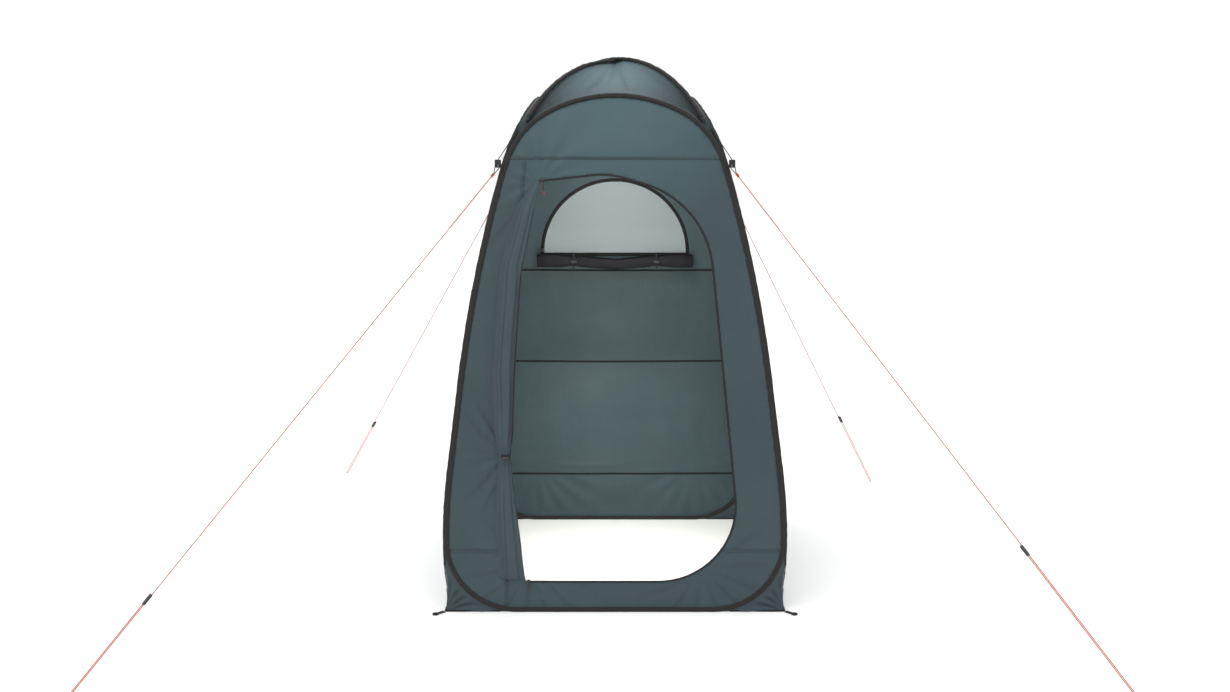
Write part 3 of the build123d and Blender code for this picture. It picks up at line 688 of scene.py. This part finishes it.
# ---- walls
def corner_pull(x, z, strength):
    """Creases that run out of the two lower hoop corners."""
    total = 0.0
    for centre in (-0.345, 0.345):
        dx, dz = x - centre, z - 0.25
        r = hypot(dx, dz)
        angle = atan2(-dz, dx if centre > 0 else -dx)
        if r > 0.02 and angle > -0.4:
            total += strength * sin(angle * 17 + 2.5 * noise((x * 3, z * 3, 4))) * smooth(r, 0.05, 0.2)
    return total


def wall_relief(seed):
    def relief(x, z):
        slow = 0.0050 * noise((x * 2.0, z * 1.3, seed))
        streak = 0.0016 * noise((x * 11, z * 2.2, seed + 9))
        fine = 0.0007 * noise((x * 26, z * 17, seed + 20)) * smooth(abs(z - 0.95), 0.2, 0.8)
        return slow + streak + fine + corner_pull(x, z, 0.0019)
    return relief


def wall_creases(seed):
    """The front wall: tension lines also run from the door's tie and top corner."""
    base = wall_relief(seed)

    def relief(x, z):
        lift = base(x, z)
        for (cx, cz), lobes in ((DOOR_TIE, 19), (DOOR_TOP, 23)):
            dx, dz = x - cx, z - cz
            r = hypot(dx, dz)
            fade = smooth(r, 0.01, 0.05) * (1 - smooth(r, 0.05, 0.34))
            if fade > 0:
                lift += 0.0032 * fade * sin(atan2(dz, dx) * lobes / 2 + 2 * noise((x * 6, z * 6, 2)))
        return lift
    return relief


SHEETS = {side: [panel_loop(PANEL_INSET)] for side in SIDES}
SHEETS["front"].append(joined(rounded(DOOR_CORNERS, DOOR_RADII, 0.009), door_left_run(0.009))[:-1])
SHEETS["back"].append(window_loop(0.0, 0.009))


def painted_crease_shade(x, z):
    """Painted shade in creases of the front wall: beside the gathered door and out of the lower
    corners.
    """
    total = 0.0
    for (cx, cz), reach, upward in ((DOOR_TIE, 0.26, True), (DOOR_TOP, 0.34, False)):
        dx, dz = x - cx, z - cz
        r = hypot(dx, dz) + 0.001
        steep = smooth((abs(dz) if upward else -dz) / r, 0.45, 0.85)
        wave = sin(atan2(dz, dx) * 19 + 3 * noise((x * 5, z * 5, 6)))
        total += 0.60 * steep * max(0.0, wave) ** 3 * (1 - smooth(r, 0.3 * reach, reach))
    for side in (-1, 1):
        dx, dz = x - side * 0.30, z - 0.16
        r = hypot(dx, dz)
        wave = sin(atan2(dz, dx) * 14 + 2.5 * noise((x * 4, z * 4, 3)))
        total += 0.30 * max(0.0, wave) ** 4 * smooth(r, 0.04, 0.10) * (1 - smooth(r, 0.14, 0.30))
    return min(0.6, total)


RISES = {}
for seed, (side, loops) in enumerate(SHEETS.items()):
    relief = wall_creases(seed * 13.7) if side == "front" else wall_relief(seed * 13.7)
    RISES[side] = held(relief, loops)
    wall = wall_piece(f"{side}_wall_cloth", side, loops, RISES[side], "wall",
                      folds=painted_crease_shade if side == "front" else None)
    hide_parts(f"{side}_wall")

# ---- hoop sleeves
for seed, (side, turn) in enumerate(SIDES.items()):
    loop = panel_loop(SLEEVE_INSET, 0.009)
    path = turned([on_wall(x, z) for x, z in loop], turn)
    normals = turned([on_wall(x, z, 1) - on_wall(x, z) for x, z in loop], turn)
    sleeve = tube(f"{side}_sleeve_cloth", path, normals, *HOOP_SLEEVE, "binding", ripple=0.35,
                  closed=True, seed=seed * 5.1, swell=lambda p: 1 + 0.9 * smooth(p.z, 1.50, 1.66))
    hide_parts(f"{side}_hoop_sleeve")

# ---- roof
ROD_RISE = APEX - ROD_END_HEIGHT
FOOT_HEIGHT = ARCH_START + 0.014
FOOT_X = half_width(FOOT_HEIGHT) - 0.001
FOOT = FOOT_X * sqrt(2)
GORE_DROP = 0.0046


def rod_arc(lift):
    """Radius and centre height of a roof rod's arc; one rod crosses over the other."""
    rise = ROD_RISE + lift
    radius = (ROD_REACH**2 + rise**2) / (2 * rise)
    return radius, APEX + lift - radius


def ridge_height(radius, upper):
    """Height of the roof cloth under a rod sleeve, at a distance from the centre."""
    reach = min(radius, ROD_REACH)
    low_r, low_c = rod_arc(0)
    height = low_c + sqrt((low_r - GORE_DROP) ** 2 - reach**2)
    if upper:
        high_r, high_c = rod_arc(ROD_STEP)
        over = high_c + sqrt((high_r - GORE_DROP) ** 2 - reach**2)
        height += (over - height) * smooth(reach, 0.012, 0.05)
    return height + (FOOT_HEIGHT - height) * max(0.0, radius - ROD_REACH) / (FOOT - ROD_REACH)


def arch_height(x):
    crown = CROWN_RADIUS + 0.0005
    if x > crown * cos(CROWN_LEAN):
        return shoulder_c[1] + sqrt((ARCH_SHOULDER + 0.0005) ** 2 - (x - shoulder_c[0]) ** 2)
    return crown_z + sqrt(crown**2 - x**2)


def roof_gore(name, turn, seed, columns=97, rows=33):
    verts, uvs, folds = [], [], []
    for i in range(columns):
        x = FOOT_X * 0.972 * (2 * i / (columns - 1) - 1)
        height = arch_height(abs(x))
        low = Vector((x, -half_width(height), height))
        upper = x > 0 if turn % 180 == 0 else x < 0
        high = Vector((x, -abs(x), ridge_height(abs(x) * sqrt(2), upper)))
        across = high - low
        out = Vector((1, 0, 0)).cross(across).normalized()
        if out.z < 0:
            out = -out
        for j in range(rows):
            v = j / (rows - 1)
            p = low + across * v
            angle = atan2(p.x, -p.y)
            far = hypot(p.x, p.y)
            edge = sin(pi * v)
            pull = noise((angle * 7, far * 1.5, seed))
            pull += 0.6 * noise((angle * 17, far * 3, seed + 5))
            lift = edge * (-0.014 + 0.0045 * pull * smooth(far, 0.0, 0.12))
            lift += edge * 0.0012 * noise((p.x * 30, p.y * 30, seed + 8))
            verts.append(p + out * lift)
            uvs.append((x, -across.length * (1 - v)))
            # Painted shade along radial creases of the gore.
            ray = sin(angle * 11 + 3 * noise((p.x * 3, p.y * 3, seed)))
            folds.append(0.30 * max(0.0, ray) ** 4 * smooth(far, 0.03, 0.2) * edge)
    return make_mesh(name, turned(verts, turn), grid_faces(columns, rows), uvs, "roof",
                     thick=CLOTH_THICK, folds=folds)


for seed, (side, turn) in enumerate(SIDES.items()):
    gore = roof_gore(f"{side}_roof_cloth", turn, seed * 7.3)
    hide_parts(f"{side}_roof_gore")

for name, turn, lift in (("a", 45, 0.0), ("b", 135, ROD_STEP)):
    out = toward(turn)
    radius, centre = rod_arc(lift)
    sweep = asin(ROD_REACH / radius) - radians(1.6)
    angles = [sweep * (2 * i / 110 - 1) for i in range(111)]
    path = [out * radius * sin(a) + Vector((0, 0, centre + radius * cos(a))) for a in angles]
    normals = [out * sin(a) + Vector((0, 0, cos(a))) for a in angles]
    sleeve = tube(f"rod_sleeve_{name}_cloth", path, normals, *ROD_SLEEVE, "binding", ripple=0.4,
                  seed=turn)
    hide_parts(f"roof_rod_sleeve_{name}")


def crossing_web():
    """Cloth that closes the step where one rod sleeve passes over the other."""
    out = toward(135)
    radius, centre = rod_arc(ROD_STEP)
    verts, uvs, faces = [], [], []
    for i, r in enumerate(np.linspace(-0.055, 0.055, 25)):
        low, high = ridge_height(abs(r), True) - 0.002, centre + sqrt(radius**2 - r**2)
        verts += [out * r + Vector((0, 0, low)), out * r + Vector((0, 0, high))]
        uvs += [(r, 0), (r, high - low)]
        if i:
            faces.append((2 * i - 2, 2 * i, 2 * i + 1, 2 * i - 1))
    make_mesh("rod_crossing_web", verts, faces, uvs, "binding", thick=0.0012)


crossing_web()

# ---- corner gussets
CORNER_X = BASE_HALF - SLEEVE_HALF - CORNER_RADIUS


def edge_bow(z):
    """How far the two legs' shared upright edge draws in from the corner."""
    return 0.001 + 0.011 * sin(pi * min(1, z / 0.17)) ** 0.8


def gusset_loop():
    """Triangle outside a hoop's lower corner, with a slightly hollow upright edge."""
    base = run((CORNER_X + 0.03, 0.001), (BASE_HALF - 0.001, 0.001), 0.009)
    edge = [(BASE_HALF - edge_bow(z), z) for z in np.linspace(0.011, 0.253, 26)]
    curve = arc((CORNER_X, CORNER_RADIUS), CORNER_RADIUS - 0.005, 0, -pi / 2 + 0.16, 0.009)
    return joined(base, edge, curve)[:-1]


def gusset_relief(x, z):
    """Pleats that fan out from the ground corner toward the hoop."""
    far = hypot(BASE_HALF - x, z)
    gap = hypot(x - CORNER_X, z - CORNER_RADIUS) - CORNER_RADIUS
    fan = sin(atan2(z, BASE_HALF - x) * 17 + 1.5 * noise((x * 12, z * 12, 1)))
    return 0.0045 * fan * smooth(gap, 0.0, 0.03) * smooth(far, 0.0, 0.05)


leg_points, leg_faces = flat_mesh([gusset_loop()], 0.006)
for corner, turn in CORNERS.items():
    verts, faces, uvs, folds = [], [], [], []
    for flip, extra in ((1, 0), (-1, 90)):
        start = len(verts)
        for x, z in leg_points:
            draw = edge_bow(z)
            hoop_x = CORNER_X + sqrt(max(0.0, CORNER_RADIUS**2 - (CORNER_RADIUS - z) ** 2))
            span = (x - hoop_x) / max(0.003, BASE_HALF - draw - hoop_x)
            fold = gusset_relief(x, z) * smooth(BASE_HALF - draw - x, 0.0, 0.03)
            fold -= draw * smooth(span, 0.15, 1.0)
            verts.append(Vector((flip * x, -BASE_HALF - fold, z)))
            uvs.append((x, z))
            # Painted shade: the gusset is darkened a little all over, and more in its pleats' hollows.
            folds.append(min(0.7, 0.16 + max(0.0, -gusset_relief(x, z)) * 90))
        verts[start:] = turned(verts[start:], turn + extra)
        faces += [tuple(start + i for i in f)[::flip] for f in leg_faces]
    gusset = make_mesh(f"{corner}_gusset_cloth", verts, faces, uvs, "wall", thick=CLOTH_THICK,
                       folds=folds)
    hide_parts(f"{corner}_gusset")
    outward = turned([Vector((1, -1, 0))], turn)
    heights = np.linspace(0.004, 0.236, 30)
    edge = [(BASE_HALF - edge_bow(z), edge_bow(z) - BASE_HALF, z) for z in heights]
    tube(f"{corner}_gusset_fold", turned(edge, turn), outward * 30, 0.0012, 0.0012, "wall", rings=8)
    heights = np.linspace(0.170, 1.600, 156)
    seam = [(half_width(z) - 0.0016, 0.0016 - half_width(z), z) for z in heights]
    tube(f"{corner}_corner_seam", turned(seam, turn), outward * 156, 0.0038, 0.0034, "binding",
         rings=10, ripple=0.3, seed=turn)

# ---- gathered door
# Height, middle across, half width and half depth of the gathered cloth; it is tied at TIE.
BUNDLE = [
    (1.499, -0.268, 0.004, 0.002), (1.472, -0.279, 0.013, 0.005), (1.400, -0.305, 0.028, 0.012),
    (1.200, -0.352, 0.036, 0.020),
    (0.850, -0.375, 0.037, 0.024), (0.640, -0.378, 0.027, 0.021), (0.566, -0.378, 0.016, 0.014),
    (0.546, -0.378, 0.015, 0.013), (0.520, -0.376, 0.018, 0.015), (0.380, -0.370, 0.031, 0.018),
    (0.240, -0.358, 0.038, 0.012), (0.122, -0.350, 0.043, 0.004),
]
BUNDLE_GAP, TIE = 0.004, DOOR_TIE[1]


def between(table, value):
    """A table's row at a value of its first column, in straight lines between its rows."""
    rows = sorted(table)
    if value <= rows[0][0]:
        return rows[0][1:]
    for low, high in zip(rows, rows[1:]):
        if value <= high[0]:
            t = (value - low[0]) / (high[0] - low[0])
            return tuple(a + (b - a) * t for a, b in zip(low[1:], high[1:]))
    return rows[-1][1:]


def groove_at(angle, z):
    """Long creases that run down the gathered cloth."""
    return (1 - abs(sin(2.5 * angle + 0.9 + 1.6 * noise((0.4, z * 3.5, 2.0))))) ** 2.5


def fold_depth(angle, z):
    """Folds of the gathered cloth: tight and deep at the tie, broad and soft away from it."""
    away = abs(z - TIE)
    near = 1 - smooth(away, 0.03, 0.16)
    top = smooth(z, 1.25, 1.45)
    drift = noise((0.4, z * 5, 2.0))
    fine = 0.15 * near * cos(9 * angle + 1.0 + drift)
    broad = (0.03 + 0.05 * top) * (1 - near) * cos(5 * angle + 2.4 + 2.5 * drift)
    slow = 0.05 * noise((cos(angle) * 1.6, sin(angle) * 1.6, z * 7))
    return 1 + fine + broad + slow - (0.24 + 0.08 * top) * groove_at(angle, z) * (1 - 0.6 * near)


def fold_shade(angle, z):
    """Painted shade in the gathered cloth's creases and along its flank by the opening."""
    flank = smooth(cos(angle), 0.45, 0.75) * smooth(z, 0.56, 0.66) * (1 - smooth(z, 1.12, 1.22))
    return min(0.85, 0.62 * groove_at(angle, z) ** 1.3 + 0.50 * flank)


def bundle_point(angle, swept, z, proud=0.0):
    """Place across and out from the wall on the gathered cloth's spiral."""
    middle, half, deep = between(BUNDLE, z)
    shrink = (1 - 0.10 * swept / (2 * pi)) * fold_depth(angle, z) / 1.1
    return (middle + (half * shrink + proud) * cos(angle),
            BUNDLE_GAP + deep + (deep * shrink + proud) * sin(angle))


BUNDLE_START = radians(148)


def door_cloth(turns=4.5, per_turn=60, lead=9):
    verts, uvs, folds = [], [], []
    heights = np.linspace(BUNDLE[-1][0], BUNDLE[0][0], 126)
    count = int(turns * per_turn)
    sweeps = [2 * pi * turns * i / count for i in range(count + 1)]
    steps = [i / lead for i in range(lead)]
    for z in heights:
        middle, half, _ = between(BUNDLE, z)
        row = [bundle_point(BUNDLE_START - swept, swept, z) for swept in sweeps]
        # Painted shade: darker as the cloth rises into the roll, then in the roll's creases and on its
        # flank.
        folds += [0.35 * t**2 for t in steps]
        folds += [fold_shade(BUNDLE_START - swept, z) for swept in sweeps]
        # From its seam on the wall the cloth rises to the gathered roll.
        foot = (middle - half - min(0.017, 0.7 * half), 0.0012)
        across, rise = row[0][0] - foot[0], row[0][1] - foot[1]
        row[:0] = [(foot[0] + across * t, foot[1] + rise * smooth(t, 0, 1)) for t in steps]
        along = 0.0
        for i, (x, out) in enumerate(row):
            along += dist(row[i], row[i - 1]) if i else 0.0
            verts.append(on_wall(x, z, out))
            uvs.append((along, z))
    faces = grid_faces(len(heights), lead + count + 1)
    return make_mesh("door_cloth", verts, faces, uvs, "wall", thick=CLOTH_THICK, folds=folds)


door = door_cloth()
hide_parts("door_panel")

# The door's own half of the zip shows along the right edge of the gathered cloth; its dark tape
# there also stands as painted shade on that flank.
DOOR_EDGE = [(0.240, 3, 15), (0.500, 2, 22), (0.560, 2, 22), (0.900, -4, 34), (1.150, -4, 34),
             (1.230, 6, 20), (1.485, 14, 30)]


def door_edge_zip_and_shade(rows=120, columns=7):
    verts, uvs = [], []
    for z in np.linspace(DOOR_EDGE[0][0], DOOR_EDGE[-1][0], rows):
        low, high = between(DOOR_EDGE, z)
        for k in range(columns):
            angle = radians(low + (high - low) * k / (columns - 1))
            x, out = bundle_point(angle, BUNDLE_START - angle, z, proud=0.0012)
            verts.append(on_wall(x, z, out))
            uvs.append((z, 0.002 * k))
    make_mesh("door_edge_zip_and_shade", verts, grid_faces(rows, columns, flip=True), uvs, "zip", thick=0.0005)


door_edge_zip_and_shade()


def tie_band(points=48, proud=0.0022):
    """Dark strap that draws the gathered cloth together."""
    path, normals = [], []
    middle, half, deep = between(BUNDLE, TIE)
    for i in range(points):
        angle = 2 * pi * i / points
        x = middle + (half + proud) * cos(angle)
        out = BUNDLE_GAP + deep * (1 + sin(angle)) + proud * sin(angle)
        path.append(on_wall(x, TIE, out))
        normals.append(Vector((cos(angle), -sin(angle), 0)))
    tube("door_tie_band", path, normals, 0.0052, 0.0009, "webbing", rings=12, ripple=0.2, closed=True)


tie_band()

# ---- zips
TOOTH_HIGH = 0.0009
TOOTH = ((0, 1, 5, 4), (1, 2, 6, 5), (2, 3, 7, 6), (0, 1, 2, 3), (7, 6, 5, 4), (3, 0, 4, 7))


def coil(name, side, points, width, lift, pitch=0.0024, gauge=0.0006):
    """Closed coil teeth along a run on a wall: short rounded bars across the tape."""
    lengths = [0.0]
    for a, b in zip(points, points[1:]):
        lengths.append(lengths[-1] + dist(a, b))
    verts, faces, uvs = [], [], []
    ring = [(-gauge, 0.0), (-gauge * 0.6, 1.0), (gauge * 0.6, 1.0), (gauge, 0.0)]
    index = 0
    for n in range(int(lengths[-1] / pitch)):
        at = pitch * (n + 0.5)
        while lengths[index + 1] < at:
            index += 1
        t = (at - lengths[index]) / (lengths[index + 1] - lengths[index])
        a, b = Vector(points[index]), Vector(points[index + 1])
        p, run_dir = a.lerp(b, t), (b - a).normalized()
        cross = Vector((-run_dir.y, run_dir.x))
        first = len(verts)
        for reach in (-0.5, 0.5):
            for shift, high in ring:
                q = p + run_dir * (shift + reach * gauge) + cross * width * reach
                verts.append(on_wall(q.x, q.y, lift + copysign(TOOTH_HIGH, lift) * high))
                uvs.append((at + shift, width * reach))
        faces += [[first + i for i in face] for face in TOOTH]
    make_mesh(name, turned(verts, SIDES[side]), faces, uvs, "coil")


zip_points = rounded(DOOR_CORNERS, DOOR_RADII, 0.008)
door_tape = ribbon("door_zip_cloth", "front", zip_points, 0.0066, 0.0008, "zip", bulge=0.0003,
                   over=RISES["front"])
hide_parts("door_zip_tape")
coil("door_zip_coil", "front", zip_points, 0.0036, 0.0012)

window_run = [(-x, z) for x, z in window_loop(0.0075, 0.008)]
binding = ribbon("window_binding_cloth", "back", window_run, 0.0135, -0.0008, "black_tape",
                 bulge=0.0012, ripple=0.0002, closed=True)
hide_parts("window_zip_binding")
arch_run = [(-x, z) for x, z in arc((0, WINDOW_BASE), WINDOW_RADIUS + 0.006, 0, pi, 0.008)]
coil("window_zip_coil", "back", arch_run, 0.0036, -0.0022)

# ---- window pane and rolled cover
pane_loop = window_loop(0.005, 0.009)
pane_rise = held(lambda x, z: 0.003 * noise((x * 5, z * 5, 4)), [pane_loop])
pane = wall_piece("window_pane", "back", [pane_loop], lambda x, z: pane_rise(x, z) - 0.0005, "mesh",
                  thick=0.0003)
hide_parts("window_mesh")

ROLL_Y = 0.4575
ROLL = [
    (-0.325, 1.152, 0.010, 0.031), (-0.290, 1.154, 0.018, 0.034), (-0.172, 1.149, 0.021, 0.029),
    (0.0, 1.140, 0.020, 0.026), (0.172, 1.149, 0.021, 0.029), (0.290, 1.154, 0.018, 0.034),
    (0.325, 1.152, 0.010, 0.031),
]


def rolled_cover(turns=2.2, per_turn=34, columns=150):
    verts, uvs = [], []
    count = int(turns * per_turn)
    for x in np.linspace(ROLL[0][0], ROLL[-1][0], columns):
        height, deep, tall = between(ROLL, x)
        pinch = min(abs(x - 0.172), abs(x + 0.172))
        narrow = 1 - 0.22 * (1 - smooth(pinch, 0.004, 0.05))
        sag = 0.002 * cos(pi * min(1.0, pinch / 0.17)) + 0.002 * noise((x * 9, 1, 1))
        along = 0.0
        for i in range(count + 1):
            swept = 2 * pi * turns * i / count
            angle = radians(62) - swept
            crease = 0.07 * noise((x * 16, cos(angle) * 1.5, sin(angle) * 1.5))
            crease += 0.05 * (1 - smooth(pinch, 0.01, 0.09)) * cos(9 * angle + 2)
            size = min(1.0, (1 - 0.30 * swept / (2 * pi)) * (1 + crease) * narrow)
            z = height + sag + tall * size * sin(angle) * 0.97
            verts.append(Vector((x, ROLL_Y + deep * size * cos(angle), z)))
            along += 2 * pi * turns / count * (deep + tall) / 2 * size
            uvs.append((x, along))
    faces = grid_faces(columns, count + 1, flip=True)
    return make_mesh("window_cover_cloth", verts, faces, uvs, "cover", thick=CLOTH_THICK)


cover = rolled_cover()
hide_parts("window_cover_roll")

# ---- seams
SEAM_STEP = 0.01
SEAMS = {"right": (0.215, 1.565), "back": (0.208, 0.715, 1.112), "left": (0.215, 1.565)}
for side, heights in SEAMS.items():
    for z in heights:
        reach = half_width(z) - 0.021
        sag = 0.004 if z > 0.5 and side == "back" else 0.0015
        level = run((-reach, z), (reach, z), SEAM_STEP)
        points = [(x, z - sag * (1 - (x / reach) ** 2)) for x, _ in level]
        tape = ribbon(f"{side}_seam_{round(z * 1000)}", side, points, 0.0072, -0.0014, "black_tape",
                      ripple=0.0002, over=RISES[side])
        if (side, z) == ("right", 0.215):
            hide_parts("seam_tapes")
        # The outside seam strip is darker as a painted shadow line.
        ribbon(f"{side}_seam_{round(z * 1000)}_outside", side, points, 0.0105, 0.0013, "seam",
               bulge=0.0005, ripple=0.0002, over=RISES[side])

FRONT_SEAMS = {
    "top": ((-0.370, 1.580), (0.370, 1.580)),
    "low_left": ((-0.575, 0.222), (-0.345, 0.222)),
    "low_right": ((0.378, 0.222), (0.575, 0.222)),
    "left_upright": ((-0.316, 1.573), (-0.345, 1.20)),
    "foot_upright": ((-0.379, 0.115), (-0.382, 0.021)),
}
for name, (start, end) in FRONT_SEAMS.items():
    # Each front seam strip is darker as a painted shadow line.
    ribbon(f"front_seam_{name}", "front", run(start, end, SEAM_STEP), 0.0100, 0.0014, "seam",
           ripple=0.0002, over=RISES["front"])

# ---- hem and rod pockets
for corner, turn in CORNERS.items():
    start = CORNER_X + 0.058
    reach = BASE_HALF + 0.0005
    path = [Vector((x, -reach, 0.0032)) for x, _ in run((start, 0), (reach - 0.004, 0), 0.01)]
    path += [Vector((reach, y, 0.0032)) for y, _ in run((-reach + 0.004, 0), (-start, 0), 0.01)]
    normals = turned([(0, -1, 0) if p.y < -reach + 0.002 else (1, 0, 0) for p in path], turn)
    hem = tube(f"{corner}_hem_cloth", turned(path, turn), normals, 0.0030, 0.0013, "black_tape",
               rings=12, ripple=0.2, seed=turn)
    if corner == "front_right":
        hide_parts("hem_tape")


def pocket_taper(t):
    """Width of a rod pocket along it: straight, then round at its end."""
    return 1.0 if t < 0.72 else sqrt(1 - ((t - 0.72) / 0.3) ** 2)


for turn in (45, 135, 225, 315):
    out = toward(turn)
    lift = ROD_STEP if turn % 180 == 135 else 0.0
    slope = asin(ROD_REACH / rod_arc(lift)[0])
    along = out * cos(slope) - Vector((0, 0, sin(slope)))
    up = out * sin(slope) + Vector((0, 0, cos(slope)))
    end = out * ROD_REACH + Vector((0, 0, ROD_END_HEIGHT))
    path = [end + along * (-0.0215 + 0.0250 * i / 14) for i in range(15)]
    pocket = tube(f"rod_pocket_{turn}", path, [up] * 15, 0.0092, 0.0046, "webbing", rings=20,
                  ripple=0.25, seed=turn, taper=pocket_taper)
    if turn == 45:
        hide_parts("rod_pockets")

# ---- materials of the part's own nodes
CARRIED = {
    "spring_hoop": "steel", "roof_rod_a": "rod", "roof_rod_b": "rod", "guy_runner": "dark",
    "guy_tabs": "webbing", "tab_loops": "black_cord", "peg_loop": "webbing", "tie_loops": "webbing",
    "door_toggle": "dark", "window_toggle": "dark", "slider": "metal",
    "puller": "pull", "puller_top": "top_pull",
}
for node_name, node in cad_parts.items():
    for key, material in CARRIED.items():
        if key in node_name and node.type == "MESH":
            node.data.materials.clear()
            node.data.materials.append(MATERIALS[material])

# ---- floor, light and world
def stage_floor():
    s = Shade("floor", rough=0.85, spec=0.1)
    tone = s.noise(s.space(), 1.3, 2, 0.5)
    s.colour(s.mix(s.ramp(tone, 0.3, 0.7), (0.955, 0.955, 0.955), (0.965, 0.965, 0.965)))
    bpy.ops.mesh.primitive_plane_add(size=40, location=(0, 4, -0.001))
    floor = bpy.context.object
    floor.name = "floor"
    floor.data.materials.append(s.mat)


def area_light(name, place, target, size, power, colour=(1, 1, 1)):
    data = bpy.data.lights.new(name, "AREA")
    data.shape = "RECTANGLE"
    data.size, data.size_y = size
    data.energy = power
    data.color = colour
    lamp = new_object(name, data)
    lamp.location = place
    lamp.rotation_euler = (Vector(target) - Vector(place)).to_track_quat("-Z", "Y").to_euler()
    lamp.visible_camera = False


stage_floor()
world = bpy.data.worlds.new("studio")
world.use_nodes = True
background = world.node_tree.nodes["Background"].inputs
background["Color"].default_value = (1, 1, 1, 1)
background["Strength"].default_value = 1.0
bpy.context.scene.world = world
sun = bpy.data.lights.new("sky_glow", "SUN")
sun.energy = 1.25
sun.angle = radians(60)
new_object("sky_glow", sun).rotation_euler = (radians(22), radians(-6), 0)
area_light("key", (-2.0, -3.2, 4.4), (0, 0, 1.2), (2.5, 2.5), 16)
# Light that thin cloth lets through: soft lamps inside the cabin, unseen themselves.
area_light("inside_front", (0, -0.30, 0.74), (0, 1.0, 0.70), (0.62, 1.30), 7.6, (1.0, 1.0, 0.87))
area_light("inside_floor", (0, 0.05, 0.70), (0, 0.12, 0), (0.80, 0.60), 3.6, (1.0, 1.0, 0.94))
area_light("inside_top", (0, 0, 1.62), (0, 0, 0), (0.40, 0.40), 6.0, (1.0, 1.0, 0.96))
bpy.context.scene.view_settings.view_transform = "Standard"
